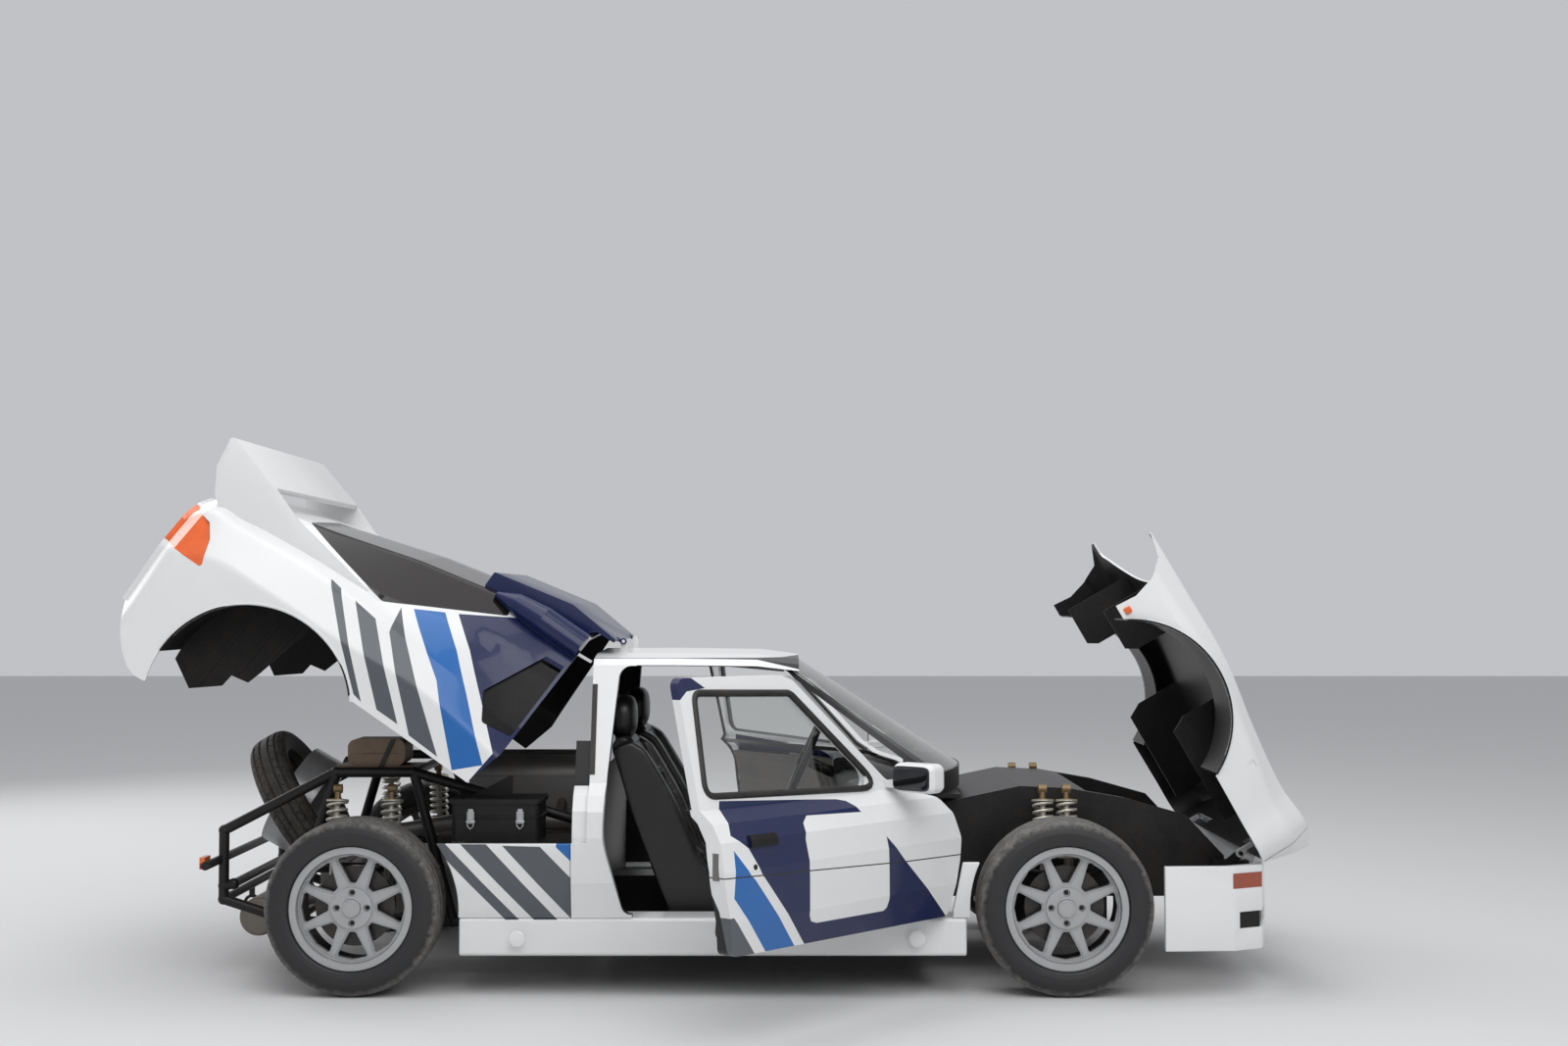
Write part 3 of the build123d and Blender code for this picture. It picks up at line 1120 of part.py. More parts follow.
def make_uprights(arms):
    """Rear uprights with half shafts, and the front knuckles on their steering pins."""
    uprights = []
    half_track = REAR_TRACK / 2
    for side in SIDES:
        y0, y1 = span(side, half_track - UPRIGHT_INSET, half_track - UPRIGHT_INSET + UPRIGHT_WIDTH)
        upright = block(REAR_AXLE_X - UPRIGHT_HALF, REAR_AXLE_X + UPRIGHT_HALF, y0, y1,
                        TYRE_RADIUS - UPRIGHT_DROP, TYRE_RADIUS + UPRIGHT_LIFT)
        upright = fillet(upright.edges().filter_by(Axis.Y), UPRIGHT_HALF / 2)
        y0, y1 = span(side, SHAFT_INNER_Y, half_track - UPRIGHT_INSET)
        upright = upright + cross_drum(REAR_AXLE_X, TYRE_RADIUS, SHAFT_RADIUS, y0, y1)
        y0, y1 = span(side, half_track - UPRIGHT_INSET, half_track - BRAKE_INNER - HUB_GAP)
        upright = upright + cross_drum(REAR_AXLE_X, TYRE_RADIUS, HUB_FLANGE, y0, y1)
        for arm in arms:
            upright = upright - arm
        uprights.append(upright)
    save("rear_uprights", *uprights)
    pin_y = FRONT_TRACK / 2 - STEER_AXIS_INSET
    low = TYRE_RADIUS - LOWER_ARM_DROP
    high = TYRE_RADIUS + UPPER_ARM_LIFT
    gap = BALL_HALF + BALL_GAP
    ax = FRONT_AXLE_X
    for side in SIDES:
        y = side * pin_y
        knuckle = rod((ax, y, low + gap), (ax, y, high - gap), BALL_RADIUS)
        knuckle = knuckle + rod((ax, y, low - BALL_GAP), (ax, y, high + BALL_GAP), BALL_PIN)
        y0, y1 = span(side, pin_y - BALL_RADIUS, FRONT_TRACK / 2 - BRAKE_INNER - HUB_GAP)
        knuckle = knuckle + cross_drum(ax, TYRE_RADIUS, HUB_FLANGE, y0, y1)
        save(f"knuckle_{END[side]}", knuckle)


def make_frame():
    """Tube frame round the engine, with rests for the spare wheel."""
    ax = REAR_AXLE_X
    tubes = []
    for side in SIDES:
        for start, end in FRAME_SIDE:
            a = (ax + start[0], side * FRAME_Y, start[1])
            b = (ax + end[0], side * FRAME_Y, end[1])
            tubes.append(rod(a, b, FRAME_TUBE))
            tubes += [Sphere(FRAME_JOINT).translate(a), Sphere(FRAME_JOINT).translate(b)]
    for x, z, half in FRAME_CROSS:
        tubes.append(rod((ax + x, -half, z), (ax + x, half, z), FRAME_CROSS_TUBE))
    lean = radians(SPARE_LEAN)
    x, z, radius = SPARE_PAD
    face_x = ax - SPARE_BEHIND_AXLE + SPARE_WIDTH / 2 * cos(lean)
    face_z = SPARE_CENTRE_Z - SPARE_WIDTH / 2 * sin(lean)
    gap = (ax + x - face_x) * cos(lean) - (z - face_z) * sin(lean)
    for y in (-SPARE_PAD_Y, SPARE_PAD_Y):
        tubes.append(rod((ax + x, y, z), (ax + x - gap * cos(lean), y, z + gap * sin(lean)), radius))
    wall_x = CABIN_REAR_X + WALL_BACK
    wall = block(wall_x, wall_x + CUT_MARGIN, -BODY_REACH, BODY_REACH, 0, CUT_TOP)
    frame = fuse(tubes[0], *tubes[1:]) - wall
    save("rear_frame", frame)
    return frame


def make_engine():
    """Engine and gearbox with cam covers, inlet, exhaust and silencer."""
    ax = REAR_AXLE_X
    blocks = [block(ax + x0, ax + x1, -half, half, z0, z1) for x0, x1, half, z0, z1 in ENGINE_BLOCKS]
    engine = fuse(blocks[0], *blocks[1:])
    x0, x1, radius, z = BELL_HOUSING
    engine = engine + rod((ax + x0, 0, z), (ax + x1, 0, z), radius)
    radius, z = DIFF
    engine = engine + cross_drum(ax, z, radius, -SHAFT_INNER_Y, SHAFT_INNER_Y)
    for x0, x1, y, z, radius in ENGINE_DRUMS:
        engine = engine + rod((ax + x0, y, z), (ax + x1, y, z), radius)
    for x in RUNNER_X:
        for (y0, z0), (y1, z1) in (INTAKE_RUNNER, EXHAUST_RUNNER):
            engine = engine + rod((ax + x, y0, z0), (ax + x, y1, z1), RUNNER_RADIUS)
    points = [(ax + x, y, z) for x, y, z in EXHAUST_PIPE]
    for start, end in zip(points, points[1:]):
        engine = engine + rod(start, end, PIPE_RADIUS) + Sphere(PIPE_RADIUS).translate(end)
    x, z, half, radius = SILENCER
    can = cross_drum(ax + x, z, radius, -half, half)
    can = fillet(can.edges().filter_by(GeomType.CIRCLE), SILENCER_CORNER)
    save("silencer", can)
    save("engine", engine - can)


def make_rear_bay(frame):
    """Air box, heat shield, spare wheel, tail lamps of the chassis and the tow eyes."""
    ax = REAR_AXLE_X
    x0, x1, y0, y1, z0, z1 = AIR_BOX
    box = fillet(block(ax + x0, ax + x1, y0, y1, z0, z1).edges().filter_by(Axis.Z), AIR_BOX_CORNER)
    x0, x1, y0, y1, z0, z1 = AIR_BOX_LID
    box = box + fillet(block(ax + x0, ax + x1, y0, y1, z0, z1).edges().filter_by(Axis.Z), AIR_BOX_CORNER)
    x0, x1, y0, y1, z0, z1 = AIR_BOX_BRACKET
    save("air_box", box + (block(ax + x0, ax + x1, y0, y1, z0, z1) - frame))
    x0, x1, y0, y1, z0, z1 = HEAT_SHIELD
    shield = fillet(block(ax + x0, ax + x1, y0, y1, z0, z1).edges().filter_by(Axis.Y), HEAT_SHIELD_CORNER)
    x0, x1, y0, y1, z0, z1 = HEAT_SHIELD_FOOT
    save("heat_shield", shield + block(ax + x0, ax + x1, y0, y1, z0, z1))
    x0, x1, near, far, z0, z1 = CHASSIS_LAMP
    lamps = []
    for side in SIDES:
        y0, y1 = span(side, near, far)
        lamps.append(block(ax + x0, ax + x1, y0, y1, z0, z1) - frame)
    save("chassis_lamps", *lamps)
    lean = radians(SPARE_LEAN)
    plane = Plane(origin=(ax - SPARE_BEHIND_AXLE, 0, SPARE_CENTRE_Z), z_dir=(cos(lean), 0, -sin(lean)))
    save("spare_tyre", plane * tyre_solid(SPARE_RADIUS, SPARE_WIDTH))
    outer, inner, width, web = SPARE_RIM
    rim = Cylinder(outer, width) - Cylinder(inner, SPARE_WIDTH)
    rim = rim + (Cylinder((outer + inner) / 2, web) - Cylinder(SPARE_HUB_HOLE, SPARE_WIDTH))
    save("spare_rim", plane * rim)
    eyes = []
    for centre, strap in ((FRONT_TOW, FRONT_TOW_STRAP), (REAR_TOW, REAR_TOW_STRAP)):
        x, y, z = centre
        far, half = strap
        y0 = y - TOW_EYE_WIDTH / 2
        y1 = y + TOW_EYE_WIDTH / 2
        ring = cross_drum(x, z, TOW_EYE_RADIUS + TOW_EYE_RING, y0, y1)
        if centre is FRONT_TOW:
            ring = ring + block(far, x, y0, y1, z - half, z + half)
        else:
            ring = ring + block(x - half, x + half, y0, y1, z, far)
        eyes.append(ring - cross_drum(x, z, TOW_EYE_RADIUS, y0, y1) - frame)
    save("tow_eyes", *eyes)


def tyre_solid(radius, width):
    """Tyre about the Z axis, open to its rim seat, with grooves round the tread."""
    half = width / 2
    bead = half - RIM_WIDTH / 2 + BEAD_IN if width > RIM_WIDTH else NARROW_BEAD
    wall = TYRE_WALL
    seat = RIM_SEAT_RADIUS
    outside = (
        (seat, half - bead, BEAD_CORNER),
        (seat + RIM_FLANGE + BEAD_CORNER, half - bead + BEAD_STEP, FLANK_CORNER),
        (seat + RIM_FLANGE + 2 * BEAD_CORNER, half - FLANK_CORNER, FLANK_CORNER),
        (radius - BULGE_DROP, half, BULGE_CORNER),
        (radius - CROWN_DROP, half - SHOULDER, SHOULDER),
    )
    inside = (
        (radius - TREAD_DEPTH, half - INNER_SHOULDER, INNER_CORNER),
        (radius - BULGE_DROP - CROWN_DROP, half - wall, BULGE_CORNER - CROWN_DROP),
        (seat, half - bead - wall, FLANK_CORNER),
    )
    rows = [(r, -y, f) for r, y, f in outside] + [(radius, 0, CROWN_CORNER)]
    rows += [row for row in reversed(outside)] + [row for row in reversed(inside)]
    rows += [(r, -y, f) for r, y, f in inside]
    outline = FilletPolyline(*[(r, 0, y) for r, y, _ in rows], radius=[f for _, _, f in rows], close=True)
    body = revolve(make_face(outline), Axis.Z)
    for across in TREAD_GROOVES:
        groove = Cylinder(radius + CUT_MARGIN, TREAD_GROOVE_WIDTH)
        groove = groove - Cylinder(radius - TREAD_GROOVE_DEPTH, TREAD_GROOVE_WIDTH)
        body = body - groove.translate((0, 0, across * width))
    return body


def rim_solid():
    """Alloy wheel about the Z axis, its face towards +Z, with hub bell and brake disc."""
    half = RIM_WIDTH / 2
    seat = RIM_SEAT_RADIUS
    flange = seat + RIM_FLANGE
    inner = seat - RIM_WALL
    rows = ((inner, -half), (flange, -half), (flange, -half + RIM_LIP), (seat, -half + RIM_HUMP),
            (seat, half - RIM_HUMP), (flange, half - RIM_LIP), (flange, half), (inner + RIM_STEP, half),
            (inner, half - RIM_TAPER))
    wheel = revolve(make_face(Polyline(*[(r, 0, y) for r, y in rows], close=True)), Axis.Z)
    face_top = half - SPOKE_SETBACK
    disc = Cylinder(inner + RIM_STEP, SPOKE_THICKNESS).translate((0, 0, face_top - SPOKE_THICKNESS / 2))
    step = 360.0 / SPOKE_COUNT
    lower = WINDOW_INNER_RADIUS
    upper = WINDOW_OUTER_RADIUS
    wide = upper * sin(radians(step / 2)) - SPOKE_EDGE / 2
    shape = Polyline((lower, -WINDOW_CORNER), (upper - WINDOW_DROP, -wide), (upper + WINDOW_RISE, 0),
                     (upper - WINDOW_DROP, wide),
                     (lower, WINDOW_CORNER), close=True)
    face = fillet(make_face(shape).vertices(), WINDOW_CORNER - 2)
    bevel = offset(face, amount=WINDOW_BEVEL)
    for number in range(SPOKE_COUNT):
        window = extrude(face, amount=2 * WINDOW_CUT).translate((0, 0, face_top - WINDOW_CUT))
        step_cut = extrude(bevel, amount=WINDOW_CUT).translate((0, 0, face_top - WINDOW_BEVEL))
        disc = disc - (window + step_cut).rotate(Axis.Z, step * number)
    wheel = wheel + disc
    wheel = wheel + Cylinder(*HUB_DISC).translate((0, 0, face_top + HUB_DISC_RISE))
    bell = Cylinder(HUB_RADIUS, face_top + BRAKE_INNER)
    wheel = wheel + bell.translate((0, 0, (face_top - BRAKE_INNER) / 2))
    wheel = wheel + Cylinder(CAP_RADIUS, CAP_HEIGHT).translate((0, 0, face_top + CAP_HEIGHT))
    brake = Cylinder(BRAKE_RADIUS, BRAKE_THICKNESS)
    wheel = wheel + brake.translate((0, 0, BRAKE_THICKNESS / 2 - BRAKE_INNER))
    for number in range(BOLT_COUNT):
        recess = Cylinder(BOLT_RECESS_RADIUS, BOLT_RECESS_CUT)
        recess = recess.translate((BOLT_CIRCLE_RADIUS, 0, face_top + HUB_DISC_RISE + HUB_DISC[1] / 2))
        wheel = wheel - recess.rotate(Axis.Z, number * 360.0 / BOLT_COUNT)
    return wheel


def make_wheels():
    """Four wheels and tyres."""
    rim = rim_solid()
    tyre = tyre_solid(TYRE_RADIUS, TYRE_WIDTH)
    for axle, track, end in ((FRONT_AXLE_X, FRONT_TRACK, "front"), (REAR_AXLE_X, REAR_TRACK, "rear")):
        for side in SIDES:
            place = Plane(origin=(axle, side * track / 2, TYRE_RADIUS), z_dir=(0, side, 0), x_dir=(1, 0, 0))
            save(f"rim_{end}_{END[side]}", place * rim)
            save(f"tyre_{end}_{END[side]}", place * tyre)


make_front_clamshell()
make_rear_clamshell()
make_cabin()
make_windscreen()
make_door(RIGHT)
make_door(LEFT)
make_tub()
make_interior()
front_box = make_front_end()
rear_frame = make_frame()
make_uprights(make_suspension(front_box, rear_frame))
make_engine()
make_rear_bay(rear_frame)
make_wheels()
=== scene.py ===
# %% [markdown]
# # Rally car with raised clamshells
# This is a mid-engined two-seat rally coupe. Its nose and its engine cover are two hollow lids, hinged at
# the ends of the car, and here both stand open, with both doors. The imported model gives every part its
# place, so it is loaded first as a fixed frame. The thin lids, tyres, seats and trims then get detailed
# pieces of their own, and each node that stays gets a finish worked out from its coordinates.
#
# Blender's units are metres. Tables of body points are in millimetres in the closed pose, because a drawing
# is read that way, and `MM` scales them. x runs forwards, y to the left and z upwards.

# %% Frame and values
import json
import math

import bmesh
import bpy
import numpy as np
from mathutils import Matrix, Vector


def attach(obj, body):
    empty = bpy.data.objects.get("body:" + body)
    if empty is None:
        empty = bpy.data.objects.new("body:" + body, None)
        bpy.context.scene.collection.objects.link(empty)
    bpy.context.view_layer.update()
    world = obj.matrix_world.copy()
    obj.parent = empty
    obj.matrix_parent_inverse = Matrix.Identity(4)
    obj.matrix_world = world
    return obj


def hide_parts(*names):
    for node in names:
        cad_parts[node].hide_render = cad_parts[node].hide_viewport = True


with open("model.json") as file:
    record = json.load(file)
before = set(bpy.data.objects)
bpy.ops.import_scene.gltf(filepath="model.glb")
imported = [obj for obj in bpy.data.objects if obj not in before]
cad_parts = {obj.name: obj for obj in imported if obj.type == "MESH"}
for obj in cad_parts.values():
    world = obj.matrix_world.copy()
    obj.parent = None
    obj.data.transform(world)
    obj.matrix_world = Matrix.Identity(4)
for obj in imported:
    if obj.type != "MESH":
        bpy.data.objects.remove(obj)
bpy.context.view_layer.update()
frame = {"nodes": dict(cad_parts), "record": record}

MM = 0.001
FRONT_AXLE = 1210.0
REAR_AXLE = -1320.0
AXLES = (("front", FRONT_AXLE), ("rear", REAR_AXLE))
SIDES = ((-1, "right"), (1, "left"))
print("nodes loaded:", len(frame["nodes"]))

# %% [markdown]
# ## Outlines
# Pressed sheet and moulded plastic have no sharp corners. A corner could be rounded with an arc, but a
# quadratic Bezier always takes the same count of points, so that outlines of different sections can be
# joined row by row into a grid. For a turn of angle t and a radius r, the rounding starts r tan(t / 2)
# before the corner C and follows P(s) = (1-s)^2 A + 2s(1-s) C + s^2 B.

# %% Outlines


def rounded_line(points, radii, corner_steps=7, run_steps=4):
    """Open 2-D line with rounded inner corners, with the same count of points for any input of one length."""
    points = np.asarray(points, float)
    out = [points[0]]
    ends = []
    for number in range(1, len(points) - 1):
        before, corner, after = points[number - 1], points[number], points[number + 1]
        u = (before - corner) / np.linalg.norm(before - corner)
        v = (after - corner) / np.linalg.norm(after - corner)
        turn = math.pi - math.acos(float(np.clip(u @ v, -1, 1)))
        reach = radii[number] * math.tan(turn / 2)
        reach = min(reach, 0.47 * np.linalg.norm(before - corner), 0.47 * np.linalg.norm(after - corner))
        ends.append((corner + u * reach, corner, corner + v * reach))
    for start, corner, finish in ends:
        run = np.linspace(out[-1], start, run_steps + 1)[1:]
        s = np.linspace(0, 1, corner_steps + 1)[1:, None]
        bend = (1 - s) ** 2 * start + 2 * s * (1 - s) * corner + s ** 2 * finish
        out += list(run) + list(bend)
    out += list(np.linspace(out[-1], points[-1], run_steps + 1)[1:])
    return np.array(out)


def closed_outline(rows, steps=6):
    """Closed outline with rounded corners from rows of (x, z, radius)."""
    pts = np.array([(x, z) for x, z, _ in rows], float)
    start = (pts[0] + pts[-1]) / 2
    line = np.vstack([start, pts, start])
    out = rounded_line(line, [0] + [r for _, _, r in rows] + [0], steps, 2)
    return out[:-1]


def circle(x, z, radius, count=96):
    """Outline of a circle in the side view: (x + r cos a, z + r sin a)."""
    angle = np.linspace(0, 2 * math.pi, count, endpoint=False)
    return np.column_stack([x + radius * np.cos(angle), z + radius * np.sin(angle)])


def shifted(rows, axle):
    """Rows measured from an axle, moved to the car's x."""
    return [(row[0] + axle,) + tuple(row[1:]) for row in rows]


print("corners of a triangle become", len(closed_outline([(0, 0, 2), (9, 0, 2), (4, 8, 2)])), "points")

# %% [markdown]
# ## Meshes from grids
# Most new pieces are one surface, worked out as a grid of points with two parameters. A grid needs no
# vertex to be placed by hand: its faces follow from its row and column numbers, and all of it is one numpy
# array.

# %% Meshes from grids


def make_mesh(name, vertices, faces, scale=MM):
    """Mesh from an array of points and a list of faces."""
    mesh = bpy.data.meshes.new(name)
    mesh.from_pydata((np.asarray(vertices) * scale).tolist(), [], [list(map(int, f)) for f in faces])
    mesh.validate()
    return mesh


def make_object(name, mesh):
    """Object at the origin in the scene's collection."""
    obj = bpy.data.objects.new(name, mesh)
    bpy.context.scene.collection.objects.link(obj)
    return obj


def grid_faces(rows, columns, start=0, wrap=False):
    """Quads of a grid: a vertex, the next in its row, and the two below them."""
    r = np.arange(rows - 1)[:, None]
    c = np.arange(columns if wrap else columns - 1)[None, :]
    after = (c + 1) % columns
    corners = [r * columns + c, r * columns + after, (r + 1) * columns + after, (r + 1) * columns + c]
    return np.stack(corners, -1).reshape(-1, 4) + start


def mend_normals(mesh):
    """Turn all faces outwards."""
    bm = bmesh.new()
    bm.from_mesh(mesh)
    bmesh.ops.recalc_face_normals(bm, faces=bm.faces)
    bm.to_mesh(mesh)
    bm.free()


def smooth(obj, angle=32):
    """Smooth shading with sharp edges kept."""
    obj.data.shade_smooth()
    obj.data.set_sharp_from_angle(angle=math.radians(angle))


def vertex_rows(owner, count, name):
    """One vector for each vertex, as rows of an array."""
    values = np.empty(count * 3)
    owner.foreach_get(name, values)
    return values.reshape(-1, 3)


def mesh_points(mesh):
    """Places of the mesh's vertices."""
    return vertex_rows(mesh.vertices, len(mesh.vertices), "co")


def mesh_normals(mesh):
    """Normals of the mesh's vertices."""
    return vertex_rows(mesh.vertex_normals, len(mesh.vertices), "vector")


print("faces of a 3 x 4 grid:", len(grid_faces(3, 4)))

# %% [markdown]
# ## Sections carried along the car
# A lid is a thin moulding whose shape changes from its edge to its nose. It could be modelled by hand, but
# a table of cross sections is how a body is lofted in a drawing office. A cubic Hermite curve runs through
# the matching points of all sections, so the skin is smooth along the car. The same grid moved inwards
# along its normals is the inner face, and a rim closes the wall.

# %% Sections carried along the car


def hoop(half, radii):
    """Cross section (y, z) over both sides from rows for one half, from its left foot to its right foot."""
    rows = [(y, z) for y, z in reversed(half)] + [(-y, z) for y, z in half[1:]]
    both = list(reversed(radii[1:])) + [radii[0]] + list(radii[1:])
    return rounded_line(rows, [0] + both + [0])


def along(stations, sections, steps):
    """Grid (stations x points x 3) by cubic Hermite curves through cross sections placed at stations."""
    x = np.asarray(stations, float)
    grid = np.asarray(sections, float)
    slope = np.gradient(grid, x, axis=0)
    rows = []
    for k in range(len(x) - 1):
        s = np.linspace(0, 1, steps + 1)[: steps + (k == len(x) - 2)]
        h = x[k + 1] - x[k]
        for t in s:
            a = 2 * t ** 3 - 3 * t ** 2 + 1
            b = t ** 3 - 2 * t ** 2 + t
            c = -2 * t ** 3 + 3 * t ** 2
            d = t ** 3 - t ** 2
            yz = a * grid[k] + b * h * slope[k] + c * grid[k + 1] + d * h * slope[k + 1]
            rows.append(np.column_stack([np.full(len(yz), x[k] + t * h), yz]))
    return np.array(rows)


def panel_grid(sections, radii, axle, steps):
    """Grid through a table of sections."""
    order = sorted(sections, key=lambda row: row[0])
    return along([axle + row[0] for row in order], [hoop(row[1:], radii) for row in order], steps)


def grid_normals(grid):
    """Unit normals of a grid, from the cross product of its two directions."""
    n = np.cross(np.gradient(grid, axis=1), np.gradient(grid, axis=0))
    return n / np.linalg.norm(n, axis=2, keepdims=True)


def shell_from_grid(name, grid, wall):
    """Closed thin shell: the grid P, the grid P - wall N on material slot 1, and a rim between them."""
    rows, columns, _ = grid.shape
    inner = grid - grid_normals(grid) * wall
    count = rows * columns
    outer_faces = grid_faces(rows, columns)
    inner_faces = grid_faces(rows, columns, count)[:, ::-1]
    index = np.arange(count).reshape(rows, columns)
    border = np.concatenate([index[0, :-1], index[:-1, -1], index[-1, :0:-1], index[:0:-1, 0]])
    after = np.roll(border, -1)
    rim = np.stack([after, border, border + count, after + count], -1)
    points = np.concatenate([grid.reshape(-1, 3), inner.reshape(-1, 3)])
    mesh = make_mesh(name, points, np.concatenate([outer_faces, inner_faces, rim]))
    for face in ("outside", "inside"):
        mesh.materials.append(bpy.data.materials.new(face))
    slots = np.zeros(len(mesh.polygons), np.int32)
    slots[len(outer_faces):2 * len(outer_faces)] = 1
    mesh.polygons.foreach_set("material_index", slots)
    return make_object(name, mesh)


print("a hoop of 3 rows has", len(hoop(((0, 9), (5, 8), (6, 0)), (0, 1))), "points")

# %% [markdown]
# ## Prisms and cuts
# Openings for wheels, lamps and glass are sawn out of the moulded panel on the real car. Here a prism with
# the opening's outline is taken away by a boolean, while the panel is still closed and square to the axes.
# The manifold solver is used because every shell and prism is closed, and it keeps thin walls whole.

# %% Prisms and cuts


def between(name, low, high):
    """Closed solid between two rows of matching points: the rows as its ends, and quads between them."""
    n = len(low)
    sides = [(k, (k + 1) % n, n + (k + 1) % n, n + k) for k in range(n)]
    faces = [list(range(n))[::-1], list(range(n, 2 * n))] + sides
    obj = make_object(name, make_mesh(name, np.concatenate([low, high]), faces))
    mend_normals(obj.data)
    return obj


def prism(name, outline, low, high, axis=1):
    """Closed prism: the outline's two coordinates, with the third set to low and to high."""
    outline = np.asarray(outline, float)
    return between(name, *(np.insert(outline, axis, end, axis=1) for end in (low, high)))


def side_prism(name, outline, side, near, far):
    """Prism on one side of the car, between two distances from its middle."""
    return prism(name, outline, *sorted((side * near, side * far)))


def apply_modifiers(obj):
    """Replace the object's mesh by its evaluated one."""
    graph = bpy.context.evaluated_depsgraph_get()
    mesh = bpy.data.meshes.new_from_object(obj.evaluated_get(graph))
    obj.modifiers.clear()
    obj.data = mesh


def cut(obj, cutter, operation="DIFFERENCE"):
    """Apply one boolean and remove the cutter."""
    modifier = obj.modifiers.new("cut", "BOOLEAN")
    modifier.operation = operation
    modifier.solver = "MANIFOLD"
    modifier.object = cutter
    apply_modifiers(obj)
    bpy.data.objects.remove(cutter)


def join(first, *others):
    """One mesh from several objects."""
    bm = bmesh.new()
    for obj in (first,) + others:
        bm.from_mesh(obj.data)
    mesh = bpy.data.meshes.new(first.name)
    for material in first.data.materials:
        mesh.materials.append(material)
    bm.to_mesh(mesh)
    bm.free()
    first.data = mesh
    for obj in others:
        bpy.data.objects.remove(obj)
    return first


print("prism of a hexagon:", len(prism("trial", circle(0, 0, 5, 6), 0, 9).data.polygons), "faces")
bpy.data.objects.remove(bpy.data.objects["trial"])

# %% [markdown]
# ## Opening what was drawn closed
# Lids and doors are easiest to draw shut, where their outlines meet the body. A turn about the real hinge
# then opens them. The turn goes into the mesh and not into the object, so each piece still sits at the
# origin.

# %% Opening what was drawn closed
HINGES = {
    "front": (1900.0, 465.0, 60.0),
    "rear": (-400.0, 1245.0, 35.5),
}
DOOR_HINGE = (812.0, 830.0, 50.0)


def turn_points(obj, matrix):
    """Move the mesh, not the object."""
    obj.data.transform(matrix)
    obj.data.update()


def rotation(x, y, z, axis, degrees):
    """Turn about an axis through a point in millimetres."""
    place = Matrix.Translation(Vector((x, y, z)) * MM)
    return place @ Matrix.Rotation(math.radians(degrees), 4, axis) @ place.inverted()


def open_lid(obj, which):
    """Swing a piece drawn in the closed pose about its clamshell's hinge."""
    x, z, angle = HINGES[which]
    turn_points(obj, rotation(x, 0, z, "Y", angle))


def open_door(obj, side):
    """Swing a piece drawn in the closed pose about the door's hinge."""
    x, y, angle = DOOR_HINGE
    turn_points(obj, rotation(x, side * y, 0, "Z", -side * angle))


print("hinges:", HINGES, DOOR_HINGE)

# %% [markdown]
# ## Naming pieces
# Each piece rides on a body, wears a finish and may take the place of imported nodes, which are then hidden.
# One helper does all of it in one call and keeps a list of what gets which finish.

# %% Naming pieces
DRESSES = []


def add_piece(obj, body, slot_name, finish, *replaced):
    """Name the body an object rides on, its finish, and the nodes it replaces; slot_name is not used."""
    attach(obj, body)
    if replaced:
        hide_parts(*replaced)
    DRESSES.append((obj, finish))
    return obj


print("pieces so far:", len(DRESSES))

# %% [markdown]
# ## Front lid
# The whole front of the car is one moulding: bonnet, wings and nose. Each row of the table is a station
# along the car, as its distance from the axle, and then (half width, height) from the middle line to the
# sill. The numbers in `FRONT_RADII` round the corners between those points.

# %% Front lid's sections
WALL = 9.0
REACH = 930.0
FRONT_RADII = (900, 160, 60, 40, 60)
FRONT_SECTIONS = (
    (-512, (0, 786), (380, 772), (600, 756), (715, 744), (822, 655), (838, 480)),
    (-275, (0, 776), (400, 766), (610, 760), (735, 742), (838, 662), (846, 480)),
    (15, (0, 750), (400, 744), (610, 757), (760, 736), (866, 668), (872, 480)),
    (270, (0, 708), (400, 706), (600, 722), (745, 702), (860, 645), (866, 480)),
    (520, (0, 664), (400, 668), (580, 701), (700, 688), (825, 610), (836, 480)),
    (690, (0, 640), (400, 650), (560, 708), (670, 702), (780, 610), (796, 480)),
    (768, (0, 622), (400, 634), (520, 696), (600, 686), (660, 600), (664, 480)),
)
UNDERCUT = ((0, 25), (8, 25), (86, 235), (400, 235), (400, -100), (0, -100))
FRONT_DOOR_EDGE = ((-700, 440), (-366, 440), (-358, 480), (-353, 561), (-378, 642), (-424, 709), (-520, 741),
                   (-520, 900), (-700, 900))
FRONT_ARCH = (FRONT_AXLE + 15.0, 325.0, 355.0)
LAMP_HOLE = ((352, 600), (378, 600), (378, 626), (352, 626))
print("front sections:", len(FRONT_SECTIONS))

# %% [markdown]
# The nose is thick, since it holds the lamps and the grille, so it is a solid block between the last two
# sections with three pockets in its sloping face. Its back and its underside are black, like the lid's
# inside.

# %% Nose
NOSE_ENDS = (692, 766)
NOSE_POCKETS = ((52, 168, 330, 590, 26), (52, 168, -590, -330, 26), (62, 158, -290, 290, 12))


def nose_line(height, depth):
    """Point (x, z) at a height on the sloping nose face, moved back by a depth."""
    (x0, z0), (x1, z1) = UNDERCUT[1:3]
    hinge_x, hinge_z, _ = HINGES["front"]
    return (hinge_x + x0 + (x1 - x0) * (height - z0) / (z1 - z0) - depth, hinge_z + height)


def undercut():
    """Cutter for the slope under the nose, measured from the hinge."""
    x, z, _ = HINGES["front"]
    return prism("under", [(x + dx, z + dz) for dx, dz in UNDERCUT], -REACH, REACH)


